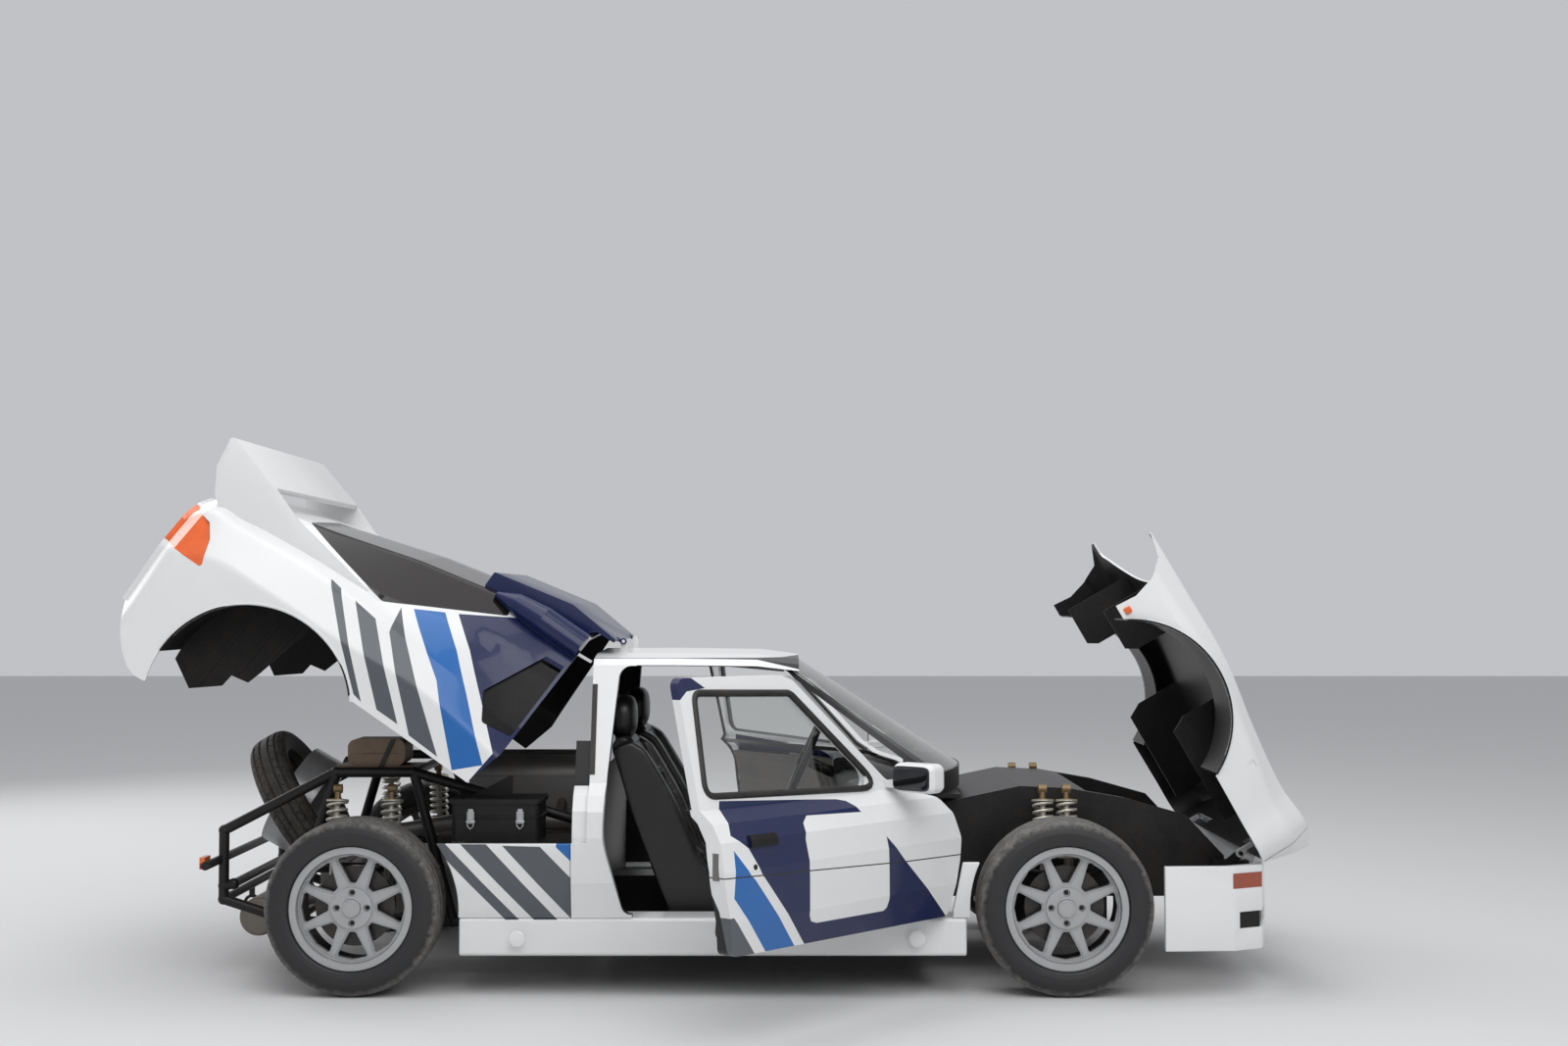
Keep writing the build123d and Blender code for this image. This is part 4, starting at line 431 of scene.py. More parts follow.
def make_nose():
    """Block carried between two sections, with pockets; faces that look back or down are on slot 1."""
    ends = [hoop(row[1:], FRONT_RADII) for row in FRONT_SECTIONS[-2:]]
    grid = along([FRONT_AXLE + x for x in NOSE_ENDS], ends, 3)
    rows, columns, _ = grid.shape
    faces = [list(face) for face in grid_faces(rows, columns, 0, True)]
    faces += [list(range(columns)), list(range((rows - 1) * columns, rows * columns))[::-1]]
    nose = make_object("nose", make_mesh("nose", grid.reshape(-1, 3), faces))
    mend_normals(nose.data)
    cut(nose, undercut())
    for low, high, near, far, depth in NOSE_POCKETS:
        box = [nose_line(low, -depth), nose_line(high, -depth), nose_line(high, depth), nose_line(low, depth)]
        cut(nose, prism("pocket", box, near, far))
    for polygon in nose.data.polygons:
        polygon.material_index = 1 if polygon.normal.x < -0.6 or polygon.normal.z < -0.85 else 0
    return nose


nose = make_nose()
print("nose:", len(nose.data.polygons), "faces")

# %% [markdown]
# The lid's rear edge curves round the windscreen, its sides stop at the doors and the arches, and two flat
# arms hang it on its pins. The screen's edge is an arc in the plan view, cut off at the width of the cabin.

# %% Front lid
SCREEN_MIDDLE = FRONT_AXLE - 1804
SCREEN_RADIUS = 1506
SCREEN_HALF = 662
SCREEN_END = FRONT_AXLE - 900
ARM_SPAN = (484.0, 494.0)


def screen_outline():
    """Outline (x, y) of the room for the screen: points of an arc, in order of angle, closed behind."""
    angle = np.linspace(0, 2 * math.pi, 240, endpoint=False)
    ring = np.column_stack([SCREEN_MIDDLE + SCREEN_RADIUS * np.cos(angle),
                            np.clip(SCREEN_RADIUS * np.sin(angle), -SCREEN_HALF, SCREEN_HALF)])
    ring = ring[ring[:, 0] > SCREEN_END]
    ring = ring[np.argsort(np.arctan2(ring[:, 1], ring[:, 0] - SCREEN_MIDDLE))]
    return np.vstack([ring, [(SCREEN_END, SCREEN_HALF), (SCREEN_END, -SCREEN_HALF)]])


def hinge_arm(side):
    """Flat arm down to the pin: a rectangle joined with a round eye, and bored."""
    x, z, _ = HINGES["front"]
    y0, y1 = sorted(side * y for y in ARM_SPAN)
    arm = prism("arm", [(x - 16, z), (x + 6, z), (x + 6, z + 55), (x - 16, z + 55)], y0, y1)
    cut(arm, prism("eye", circle(x, z, 16, 32), y0, y1), "UNION")
    cut(arm, prism("bore", circle(x, z, 8.3, 32), y0 - 5, y1 + 5))
    return arm


def make_front_lid():
    """Shell through the sections, cut for nose, screen, doors and wheels, joined to nose and arms."""
    lid = shell_from_grid("front_panel", panel_grid(FRONT_SECTIONS, FRONT_RADII, FRONT_AXLE, 8), WALL)
    cut(lid, undercut())
    cut(lid, prism("plan", screen_outline(), 400.0, 1000.0, axis=2))
    openings = ((shifted(FRONT_DOOR_EDGE, FRONT_AXLE), 668.0), (circle(*FRONT_ARCH), 590.0),
                (shifted(LAMP_HOLE, FRONT_AXLE), 808.0))
    for side, _ in SIDES:
        for outline, near in openings:
            cut(lid, side_prism("cutter", outline, side, near, REACH))
    lid = join(lid, nose, *(hinge_arm(side) for side, _ in SIDES))
    lid.name = "front_clamshell_panel"
    open_lid(lid, "front")
    smooth(lid)
    return lid


front_panel = add_piece(make_front_lid(), "front_clamshell", "white_paint", ("front_paint", "black_plastic"),
                        "front_clamshell_skin")
print("front lid:", len(front_panel.data.polygons), "faces")

# %% [markdown]
# ## Rear lid
# The engine cover reaches from the roof to the tail. It is made in the same way from its own table, with
# openings for the glass canopy, the side intakes, the wheels and the tail lamps, and a flat plate that
# closes the tail.

# %% Rear lid
REAR_RADII = (1500, 50, 40, 60, 60)
REAR_SECTIONS = (
    (824, (0, 1222), (520, 1192), (632, 1010), (735, 800), (822, 680), (836, 300)),
    (470, (0, 1172), (505, 1136), (640, 980), (776, 826), (842, 720), (850, 300)),
    (140, (0, 1090), (505, 1060), (680, 900), (800, 834), (868, 700), (874, 300)),
    (-180, (0, 985), (520, 965), (680, 872), (800, 826), (870, 690), (876, 260)),
    (-430, (0, 905), (530, 898), (660, 850), (770, 800), (842, 660), (846, 182)),
    (-560, (0, 865), (530, 860), (640, 836), (730, 780), (790, 600), (788, 286)),
    (-618, (0, 800), (500, 796), (600, 770), (670, 720), (710, 580), (690, 340)),
)
REAR_EDGE = ((900, 200), (900, 1300), (825, 1300), (825, 700), (785, 548), (200, 548), (200, 200))
REAR_ARCH = (REAR_AXLE, 312.0, 370.0)
CANOPY = ((-288, 944, 12), (147, 880, 30), (540, 1092, 14), (462, 1140, 14), (462, 1320, 8), (-288, 1320, 8))
SIDE_INTAKE = ((741, 1063, 20), (635, 835, 20), (700, 745, 20), (812, 760, 10), (812, 1092, 10))
TAIL_LAMP = ((-660, 764, 8), (-515, 757, 16), (-470, 712, 16), (-425, 618, 14), (-660, 604, 8))
TAIL_PLATE = (REAR_AXLE - 632, REAR_AXLE - 617)


def make_rear_lid():
    """Shell through the sections and a tail plate, both cut for their openings, joined and swung open."""
    lid = shell_from_grid("rear_panel", panel_grid(REAR_SECTIONS, REAR_RADII, REAR_AXLE, 7), WALL)
    plate = prism("tail_plate", hoop(REAR_SECTIONS[-1][1:], REAR_RADII), *TAIL_PLATE, axis=0)
    lamp = (closed_outline(shifted(TAIL_LAMP, REAR_AXLE)), 600.0)
    intake = (closed_outline(shifted(SIDE_INTAKE, REAR_AXLE)), 600.0)
    edge = (shifted(REAR_EDGE, REAR_AXLE), 560.0)
    arch = (circle(*REAR_ARCH), 590.0)
    for piece, openings in ((plate, [lamp]), (lid, [edge, arch, lamp, intake])):
        for side, _ in SIDES:
            for outline, near in openings:
                cut(piece, side_prism("cutter", outline, side, near, REACH))
    cut(lid, prism("canopy", closed_outline(shifted(CANOPY, REAR_AXLE)), -REACH, REACH))
    lid = join(lid, plate)
    lid.name = "rear_clamshell_panel"
    open_lid(lid, "rear")
    smooth(lid)
    return lid


rear_panel = add_piece(make_rear_lid(), "rear_clamshell", "white_paint", ("rear_paint", "black_plastic"),
                       "rear_clamshell_skin")
print("rear lid:", len(rear_panel.data.polygons), "faces")

# %% [markdown]
# ## Tyres
# A rally tyre is a ring of rubber with blocks between grooves. The ring is its profile turned about the
# axle: (r cos a, y, r sin a). The tread could be cut block by block, but it is lighter to lower the grid
# where a pattern of angle and y says so: round grooves at two widths, and slanted cross grooves that repeat
# round the tyre.

# %% Tyre surface
TYRE_RADIUS = 312.0
TYRE_STEPS = 288
PROFILE_STEPS = 126
BEAD_RADIUS = 203
TYRE_WALL = 16
GROOVE_LANES = (0.12, 0.30)
TYRE_PROFILE = ((203, 84), (206, 92), (221, 97), (224, 108), (245, 112.5), (266, 112.5), (284, 108),
                (298, 101), (306, 92), (309.5, 78), (311.2, 55), (312, 28), (312, 0))
TYRE_SIZE = (225.0, TYRE_RADIUS, 6.0, 48)
SPARE_SIZE = (150.0, 290.0, 6.5, 44)
SPARE_PROFILE = ((203, 49), (207, 58), (222, 66), (245, 75), (258, 75), (272, 69), (282, 58), (288, 44),
                 (290, 20), (290, 0))


def tyre_grid(profile, width, radius, groove_depth, blocks):
    """Grid of the turned profile, r lowered by up to the groove's depth where the pattern is below zero."""
    half = list(profile)
    line = np.array(half + [(r, -y) for r, y in reversed(half[:-1])])
    length = np.concatenate([[0], np.cumsum(np.linalg.norm(np.diff(line, axis=0), axis=1))])
    even = np.linspace(0, length[-1], PROFILE_STEPS)
    r = np.interp(even, length, line[:, 0])[None, :]
    y = np.interp(even, length, line[:, 1])[None, :]
    angle = np.linspace(0, 2 * math.pi, TYRE_STEPS, endpoint=False)[:, None]
    inner_lane, outer_lane = (np.abs(np.abs(y) - width * share) for share in GROOVE_LANES)
    lanes = np.minimum(inner_lane, outer_lane) - 4.0
    phase = (angle * blocks / (2 * math.pi) + np.abs(y) / width * 2.2) % 1.0
    slant = (np.abs(phase - 0.5) - 0.075) * 40
    pattern = np.minimum(lanes, np.where(np.abs(y) < width * GROOVE_LANES[0], 9.0, slant))
    tread = np.clip((r - (radius - 26)) / 6, 0, 1)
    pressed = r - np.clip(-pattern / 2.5, 0, 1) * tread * groove_depth
    return np.stack([np.cos(angle) * pressed, np.repeat(y, TYRE_STEPS, axis=0), np.sin(angle) * pressed], -1)


def make_tyre(name, grid):
    """Closed tyre: the grid, and the same tube a few millimetres further in, but never inside the bead."""
    radius = np.hypot(grid[:, :, 0], grid[:, :, 2])
    shrink = np.clip(radius - TYRE_WALL, BEAD_RADIUS, None) / radius
    inner = grid * np.stack([shrink, np.full_like(shrink, 0.86), shrink], -1)
    tube_grid = np.concatenate([grid, inner[:, ::-1]], axis=1)
    rows, columns, _ = tube_grid.shape
    r = np.arange(rows)[:, None]
    c = np.arange(columns)[None, :]
    below, after = (r + 1) % rows * columns, (c + 1) % columns
    quads = np.stack([r * columns + c, r * columns + after, below + after, below + c], -1)
    mesh = make_mesh(name, tube_grid.reshape(-1, 3), quads.reshape(-1, 4))
    mend_normals(mesh)
    return make_object(name, mesh)


print("tyre grid:", tyre_grid(TYRE_PROFILE, *TYRE_SIZE).shape)

# %% [markdown]
# Four wheels stand on the ground at the axles. The narrow spare lies behind the engine, tipped over to
# lean.

# %% Tyres in place
HALF_TRACK = {"front": 751.0, "rear": 748.5}
SPARE_PLACE = ((REAR_AXLE - 365) * MM, 0, 0.612)

for end, axle in AXLES:
    for side, side_name in SIDES:
        tyre = make_tyre(f"tyre_tread_{end}_{side_name}", tyre_grid(TYRE_PROFILE, *TYRE_SIZE))
        turn_points(tyre, Matrix.Translation((axle * MM, side * HALF_TRACK[end] * MM, TYRE_RADIUS * MM)))
        smooth(tyre, 40)
        add_piece(tyre, f"wheel_{end}_{side_name}", "tyre", f"tyre_{end}", f"tyre_{end}_{side_name}")
spare = make_tyre("tyre_tread_spare", tyre_grid(SPARE_PROFILE, *SPARE_SIZE))
lean = Matrix.Rotation(math.radians(-30), 4, "Y") @ Matrix.Rotation(math.radians(-90), 4, "Z")
turn_points(spare, Matrix.Translation(SPARE_PLACE) @ lean)
smooth(spare, 40)
add_piece(spare, "chassis", "tyre", "tyre", "spare_tyre")
print("tyre faces:", len(tyre.data.polygons), "spare faces:", len(spare.data.polygons))

# %% [markdown]
# ## Seats
# Each seat is a hard bucket under leather that is stitched down along its seams and padded between them.
# The bucket is a few rounded prisms, melted into one skin by a voxel remesh. The seams are lines at which
# the skin is pinned: the sides of the middle panel, and cross seams at an even pitch down its front.

# %% Seat outlines and seams
SEAT_CORE = ((-1070, 300, 40), (-1120, 345, 30), (-1290, 330, 20), (-1440, 640, 200), (-1552, 868, 20),
             (-1570, 894, 12), (-1618, 894, 20), (-1645, 860, 40), (-1560, 600, 200), (-1400, 176, 40),
             (-1070, 176, 40))
SEAT_WING = ((-1085, 330, 40), (-1130, 392, 30), (-1262, 388, 30), (-1322, 470, 60), (-1400, 660, 120),
             (-1512, 850, 50), (-1562, 880, 16), (-1632, 856, 40), (-1556, 600, 200), (-1400, 196, 40),
             (-1085, 196, 40))
SEAT_Y = 350.0
SEAT_HALF = 216.0
CORE_HALF = 128.0
SEAM_PITCH = 96.0
SEAT_CORNER = (-1290, 330)
BACK_SLOPE = (0.9, 0.43)
FAR_FROM_SEAMS = 99.0


def seam_distance(points):
    """Distance in mm to the nearest seam: |(d + 30) mod pitch - pitch / 2|, d along cushion or back."""
    x, z = points[:, 0] - FRONT_AXLE, points[:, 2]
    edge = np.abs(np.abs(points[:, 1]) - CORE_HALF)
    ahead = x - SEAT_CORNER[0]
    up_back = (z - SEAT_CORNER[1]) * BACK_SLOPE[0] - ahead * BACK_SLOPE[1]
    lower, upper = (np.abs((d + 30) % SEAM_PITCH - SEAM_PITCH / 2) for d in (ahead, up_back))
    seam = np.where(ahead > 0, lower, upper)
    seam = np.where(np.abs(points[:, 1]) < CORE_HALF, seam, FAR_FROM_SEAMS)
    return np.minimum(edge, seam)


def limited(points, rest, cap):
    """Points moved from rest, their travel softly limited to a cap: d' = cap tanh(d / cap)."""
    move = points - rest
    size = np.linalg.norm(move, axis=1, keepdims=True)
    return rest + move * (cap * np.tanh(size / cap) / np.maximum(size, 1e-9))


def seat_form():
    """Middle panel and two wings as one evenly meshed skin about y = 0."""
    seat = prism("seat", closed_outline(shifted(SEAT_CORE, FRONT_AXLE)), -CORE_HALF - 4, CORE_HALF + 4)
    for side, _ in SIDES:
        wing = side_prism("wing", closed_outline(shifted(SEAT_WING, FRONT_AXLE)), side, CORE_HALF, SEAT_HALF)
        cut(seat, wing, "UNION")
    remesh = seat.modifiers.new("remesh", "REMESH")
    remesh.mode = "VOXEL"
    remesh.voxel_size = 0.006
    soften = seat.modifiers.new("soften", "SMOOTH")
    soften.iterations = 14
    apply_modifiers(seat)
    return seat


seat_right = seat_form()
print("seat form:", len(seat_right.data.polygons), "faces")

# %% [markdown]
# Stuffing pushes leather outwards evenly, and that is what pressure in a cloth simulation does. The seams
# and the seat's back are pinned, the front swells for twenty frames, and the result becomes the mesh. A
# soft limit keeps a panel from swelling too far.

# %% Blowing up the seats
SEAM_DEPTH = 0.0055
SEAM_HALF_WIDTH = 5.0
PIN_DISTANCE = 4.5
SWELL_LIMIT = 0.022
PRESSURE = 4.0
CLOTH_FRAMES = 20


def press_seams(seat):
    """Lower the front along its seams: P - N depth exp(-(d / 5)^2); gives the points, distances and front."""
    points = mesh_points(seat.data)
    normals = mesh_normals(seat.data)
    distance = seam_distance(points / MM)
    front = normals[:, 0] * BACK_SLOPE[0] + normals[:, 2] * BACK_SLOPE[1] > 0.15
    groove = np.exp(-(distance / SEAM_HALF_WIDTH) ** 2)[:, None] * np.where(front, SEAM_DEPTH, 0.0)[:, None]
    points = points - normals * groove
    seat.data.vertices.foreach_set("co", points.ravel())
    return points, distance, front


def swell(seat, rest, pinned):
    """Cloth under pressure with pinned vertices, made the mesh, its travel from rest limited."""
    group = seat.vertex_groups.new(name="pins")
    group.add(pinned.tolist(), 1.0, "REPLACE")
    cloth = seat.modifiers.new("cloth", "CLOTH")
    cloth.settings.quality = 5
    cloth.settings.mass = 0.3
    cloth.settings.use_pressure = True
    cloth.settings.uniform_pressure_force = PRESSURE
    cloth.settings.vertex_group_mass = "pins"
    cloth.settings.effector_weights.gravity = 0.0
    cloth.point_cache.frame_start = 1
    cloth.point_cache.frame_end = CLOTH_FRAMES
    for number in range(1, CLOTH_FRAMES + 1):
        bpy.context.scene.frame_set(number)
    apply_modifiers(seat)
    bpy.context.scene.frame_set(1)
    seat.vertex_groups.clear()
    seat.data.vertices.foreach_set("co", limited(mesh_points(seat.data), rest, SWELL_LIMIT).ravel())


rest, distance, front = press_seams(seat_right)
swell(seat_right, rest, np.nonzero((distance < PIN_DISTANCE) | ~front)[0])
seat_right.data.update()
print("pressed points:", int(front.sum()))

# %% [markdown]
# ## Rounded boxes and tubes
# Headrests, lenses, caps and mirror glass are rounded boxes. A superellipsoid gives them from one formula,
# and its power says how square it is. Seals, loops of wire and posts are tubes: a ring carried along a
# line.

# %% Rounded boxes and tubes


def signed_power(values, power):
    """|t|^power with the sign of t."""
    return np.sign(values) * np.abs(values) ** power


def superellipsoid(name, centre, half, power, rows, columns):
    """Rounded box: |x/a|^p + |y/b|^p + |z/c|^p = 1, from two angles with signed powers 2 / p."""
    bend = 2 / power
    u = np.linspace(0, 2 * math.pi, columns, endpoint=False)[None, :]
    v = np.linspace(-math.pi / 2, math.pi / 2, rows)[1:-1, None]
    x = signed_power(np.cos(v), bend) * signed_power(np.cos(u), bend) * half[0]
    y = signed_power(np.cos(v), bend) * signed_power(np.sin(u), bend) * half[1]
    z = np.repeat(signed_power(np.sin(v), bend) * half[2], columns, axis=1)
    points = np.stack([x, y, z], -1).reshape(-1, 3) + centre
    points = np.vstack([points, np.add(centre, (0, 0, -half[2])), np.add(centre, (0, 0, half[2]))])
    count = (rows - 2) * columns
    faces = [list(face) for face in grid_faces(rows - 2, columns, 0, True)]
    faces += [[k, (k + 1) % columns, count][::-1] for k in range(columns)]
    faces += [[count - columns + k, count - columns + (k + 1) % columns, count + 1] for k in range(columns)]
    obj = make_object(name, make_mesh(name, points, faces))
    mend_normals(obj.data)
    return obj


def unit(rows):
    """Rows scaled to a length of 1."""
    return rows / np.linalg.norm(rows, axis=1, keepdims=True)


def tube_frame(line, closed):
    """Two directions square to a line at each of its points, from the mean of the steps before and after."""
    ahead = np.roll(line, -1, 0) - line
    behind = line - np.roll(line, 1, 0)
    if not closed:
        ahead[-1], behind[0] = behind[-1], ahead[0]
    tangent = unit(unit(ahead) + unit(behind))
    up = np.array([0.0, 1.0, 0.0]) if np.abs(tangent[:, 1]).max() < 0.9 else np.array([0.3, 0.2, 0.93])
    first = unit(np.cross(tangent, up))
    return first, np.cross(tangent, first)


def tube(name, points, radius, closed=False, sides=8):
    """Round tube: P(s) + radius (first cos a + second sin a), closed on itself or with flat ends."""
    line = np.asarray(points, float)
    first, second = tube_frame(line, closed)
    angle = np.linspace(0, 2 * math.pi, sides, endpoint=False)[None, :, None]
    grid = line[:, None] + (first[:, None] * np.cos(angle) + second[:, None] * np.sin(angle)) * radius
    if closed:
        grid = np.concatenate([grid, grid[:1]])
    rows = len(grid)
    faces = [list(face) for face in grid_faces(rows, sides, 0, True)]
    if not closed:
        faces += [list(range(sides))[::-1], list(range((rows - 1) * sides, rows * sides))]
    mesh = make_mesh(name, grid.reshape(-1, 3), faces)
    if closed:
        merge_doubles(mesh, 1e-6)
    mend_normals(mesh)
    return make_object(name, mesh)


def merge_doubles(mesh, distance, flat=None):
    """Merge vertices nearer than a distance, and dissolve edges flatter than an angle where one is given."""
    bm = bmesh.new()
    bm.from_mesh(mesh)
    bmesh.ops.remove_doubles(bm, verts=bm.verts, dist=distance)
    if flat:
        bmesh.ops.dissolve_limit(bm, angle_limit=flat, verts=bm.verts, edges=bm.edges)
    bm.to_mesh(mesh)
    bm.free()


def named(name, *parts):
    """Several objects joined into one with a name."""
    piece = join(*parts)
    piece.name = name
    return piece


box = superellipsoid("trial", (0, 0, 0), (9, 9, 9), 3.0, 10, 24)
print("rounded box:", len(box.data.polygons), "faces")
bpy.data.objects.remove(box)

# %% [markdown]
# The left seat is a copy of the right one, moved across. A headrest on two posts stands behind each seat,
# and four small feet hold the bucket off the floor.

# %% Seats in place
REST_X = FRONT_AXLE - 1604
REST_Z = 962
REST_HALF = (50, 116, 82)
POST_SPREAD = 62
POST_HEIGHTS = (860, 900, 930)
FOOT_SPANS = ((-1370, -1330), (-1130, -1090))


def foot(x0, x1, y):
    """Seat foot, wider at the floor."""
    outline = shifted([(x0, 150), (x1, 150), (x1 - 10, 240), (x0 + 10, 240)], FRONT_AXLE)
    return prism("foot", outline, y, y + 24)


turn_points(seat_right, Matrix.Translation((0, -SEAT_Y * MM, 0)))
seat_left = make_object("seat_left", seat_right.data.copy())
turn_points(seat_left, Matrix.Translation((0, 2 * SEAT_Y * MM, 0)))
seat_right.name = "seat_right"
for seat, side, side_name in ((seat_right, -1, "right"), (seat_left, 1, "left")):
    middle = side * SEAT_Y
    smooth(seat, 60)
    add_piece(seat, "chassis", "seat_leather", "seat_leather", "seats")
    headrest = superellipsoid(f"headrest_{side_name}", (REST_X, middle, REST_Z), REST_HALF, 2.8, 26, 48)
    smooth(headrest, 80)
    add_piece(headrest, "chassis", "seat_leather", "seat_leather")
    posts = named(f"headrest_posts_{side_name}",
                  *(tube("post", [(REST_X, middle + across, z) for z in POST_HEIGHTS], 7, sides=12)
                    for across in (-POST_SPREAD, POST_SPREAD)))
    smooth(posts)
    add_piece(posts, "chassis", "black_steel", "black_steel")
    feet = named(f"seat_feet_{side_name}",
                 *(foot(x0, x1, middle + y) for x0, x1 in FOOT_SPANS for y in (-190, 166)))
    add_piece(feet, "chassis", "black_steel", "black_steel")
print("seat faces:", len(seat_right.data.polygons))

# %% [markdown]
# ## Door seals and small parts
# A rubber seal runs round each window and round the door's edge. Both lines lie on the door's skin, so only
# their side view is a table: the skin's half width follows from the height. The line is resampled first,
# since a tube kinks where its points are too close and cuts corners where they are too far apart.

# %% Lines on the door's skin
SIDE_LINE = ((270, 808), (400, 834), (500, 840), (560, 842), (650, 826), (705, 790), (745, 735), (1163, 597))
DOOR_WINDOW = ((-700, 752, 40), (-1054, 1088, 40), (-1530, 1104, 40), (-1588, 784, 40))
DOOR_OUTLINE = ((-1563, 292, 30), (-412, 286, 30), (-374, 480, 60), (-369, 561, 60), (-394, 642, 60),
                (-440, 705, 60), (-570, 738, 20), (-662, 782, 40), (-1024, 1130, 40), (-1076, 1148, 20),
                (-1593, 1153, 40), (-1628, 767, 100), (-1638, 553, 100))
WAIST = 745


def skin_y(z):
    """Half width of the skin at a height."""
    return np.interp(z, [row[0] for row in SIDE_LINE], [row[1] for row in SIDE_LINE])


def inset(outline, by):
    """Outline moved inwards by a distance along its own normals."""
    line = np.asarray(outline, float)
    ahead = np.roll(line, -1, 0) - np.roll(line, 1, 0)
    ahead /= np.linalg.norm(ahead, axis=1, keepdims=True)
    area2 = np.sum(line[:, 0] * np.roll(line[:, 1], -1) - np.roll(line[:, 0], -1) * line[:, 1])
    turn = 1 if area2 > 0 else -1
    return line + np.column_stack([-ahead[:, 1], ahead[:, 0]]) * by * turn


def clean(line, least=3.0):
    """Drop points nearer than the least spacing to the one kept before them."""
    kept = [line[0]]
    for point in line[1:]:
        if np.linalg.norm(np.subtract(point, kept[-1])) > least:
            kept.append(point)
    return np.array(kept)


def fine_line(line, spacing=25.0):
    """Closed line with points no further apart than the spacing."""
    result = []
    for a, b in zip(line, np.roll(line, -1, 0)):
        steps = max(int(np.ceil(np.linalg.norm(b - a) / spacing)), 1)
        result += [a + (b - a) * k / steps for k in range(steps)]
    return np.array(result)


def door_line(outline):
    """Evenly spaced closed line of a door's outline."""
    return fine_line(clean(closed_outline(shifted(outline, FRONT_AXLE))))


def line_seal(name, line, side, radius, depth_above, depth_below):
    """Tube on the skin, sunk by one depth above the waist and another below it."""
    points = [(x, side * (skin_y(z) - (depth_above if z > WAIST else depth_below)), z) for x, z in line]
    return tube(name, points, radius, True)


print("window line:", len(door_line(DOOR_WINDOW)), "points")

# %% [markdown]
# Mirror glass, latch, lock and jack caps are small, so each is one rounded box or prism. Those on the door
# are drawn with the door shut and go with it when it opens.

# %% Small parts
MIRROR = (FRONT_AXLE - 712, 873, 792)
LATCH = ((-1636, 535, 3), (-1620, 535, 3), (-1620, 620, 3), (-1636, 620, 3))
LOCK = (FRONT_AXLE - 1486, 566)
JACK_POINTS = (REAR_AXLE + 588, FRONT_AXLE - 530)
JACK_CAP = (846.0, 207)
LATCH_SPAN = (795, 820)
WINDOW_SEAL = (12.0, 3.0, 3.0)
EDGE_SEAL = (8.0, 34.0, 62.0)
EDGE_SEAL_INSET = 14.0


def add_to_door(obj, side, side_name, slot_name, finish, angle=None):
    """Open a piece with its door and name it."""
    open_door(obj, side)
    if angle:
        smooth(obj, angle)
    add_piece(obj, f"door_{side_name}", slot_name, finish)


for side, side_name in SIDES:
    door = f"door_{side_name}"
    seal = line_seal(f"{door}_window_seal", door_line(DOOR_WINDOW), side, *WINDOW_SEAL)
    add_to_door(seal, side, side_name, "black_plastic", "rubber", 60)
    edge = inset(door_line(DOOR_OUTLINE), EDGE_SEAL_INSET)
    edge_seal = line_seal(f"{door}_edge_seal", edge, side, *EDGE_SEAL)
    add_to_door(edge_seal, side, side_name, "black_plastic", "rubber", 60)
    x, y, z = MIRROR
    mirror = superellipsoid(f"mirror_glass_{side_name}", (x, side * y, z), (5, 76, 42), 6.0, 14, 40)
    add_to_door(mirror, side, side_name, "glass", "mirror", 50)
    latch = side_prism(f"{door}_latch", closed_outline(shifted(LATCH, FRONT_AXLE)), side, *LATCH_SPAN)
    add_to_door(latch, side, side_name, "black_steel", "engine_metal")
    x, z = LOCK
    lock = superellipsoid(f"{door}_lock", (x, side * skin_y(z), z), (9, 4, 9), 2.2, 10, 20)
    add_to_door(lock, side, side_name, "black_plastic", "black_plastic", 50)
    for number, x in enumerate(JACK_POINTS):
        place = (x, side * JACK_CAP[0], JACK_CAP[1])
        cap = superellipsoid(f"jack_cap_{side_name}_{number}", place, (29, 4, 29), 2.0, 10, 40)
        smooth(cap, 50)
        add_piece(cap, "chassis", "white_paint", "body_paint")
print("door line:", len(door_line(DOOR_OUTLINE)), "points")

# %% [markdown]
# ## Rounded panels
# Spoiler, scoop, bumper and sills are moulded, so light runs round their edges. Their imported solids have
# hard edges. A bevel on a copy rounds them without a change to the shape. The copy's loose triangles are
# merged first, and its flat faces dissolved, so that only true edges are left for the bevel to find.

# %% Rounded panels
ROUNDED = (
    ("rear_clamshell_spoiler", "rear_clamshell", 16.0, "rear_paint"),
    ("rear_clamshell_scoop", "rear_clamshell", 18.0, "scoop_paint"),
    ("front_bumper", "chassis", 9.0, "body_paint"),
    ("sills", "chassis", 7.0, "body_paint"),
    ("side_panels", "chassis", 4.0, "body_paint"),
)


def softened(node_name, width):
    """Copy of a node's mesh with its flat faces merged and its edges rounded in three steps."""
    obj = make_object(f"{node_name}_rounded", frame["nodes"][node_name].data.copy())
    obj.data.materials.clear()
    merge_doubles(obj.data, 1e-5, math.radians(1.0))
    edges = obj.modifiers.new("edges", "BEVEL")
    edges.width = width * MM
    edges.segments = 3
    edges.limit_method = "ANGLE"
    edges.angle_limit = math.radians(24)
    apply_modifiers(obj)
    smooth(obj, 36)
    return obj


for node_name, body, width, finish in ROUNDED:
    slot_name = "navy_paint" if "scoop" in node_name else "white_paint"
    panel = add_piece(softened(node_name, width), body, slot_name, finish, node_name)
    print(node_name, len(panel.data.polygons), "faces")

# %% [markdown]
# ## Arch lips
# The edge of a wheel arch is folded back, so it looks thick. A thin tube along the edge gives that bead.
# Its line is measured on the lid itself: of the vertices on the arch's circle, the outermost for each three
# degrees.

# %% Arch lips
LID_ARCHES = (("front", front_panel, FRONT_ARCH, 540), ("rear", rear_panel, REAR_ARCH, 360))
LIP_SINK = 5.0


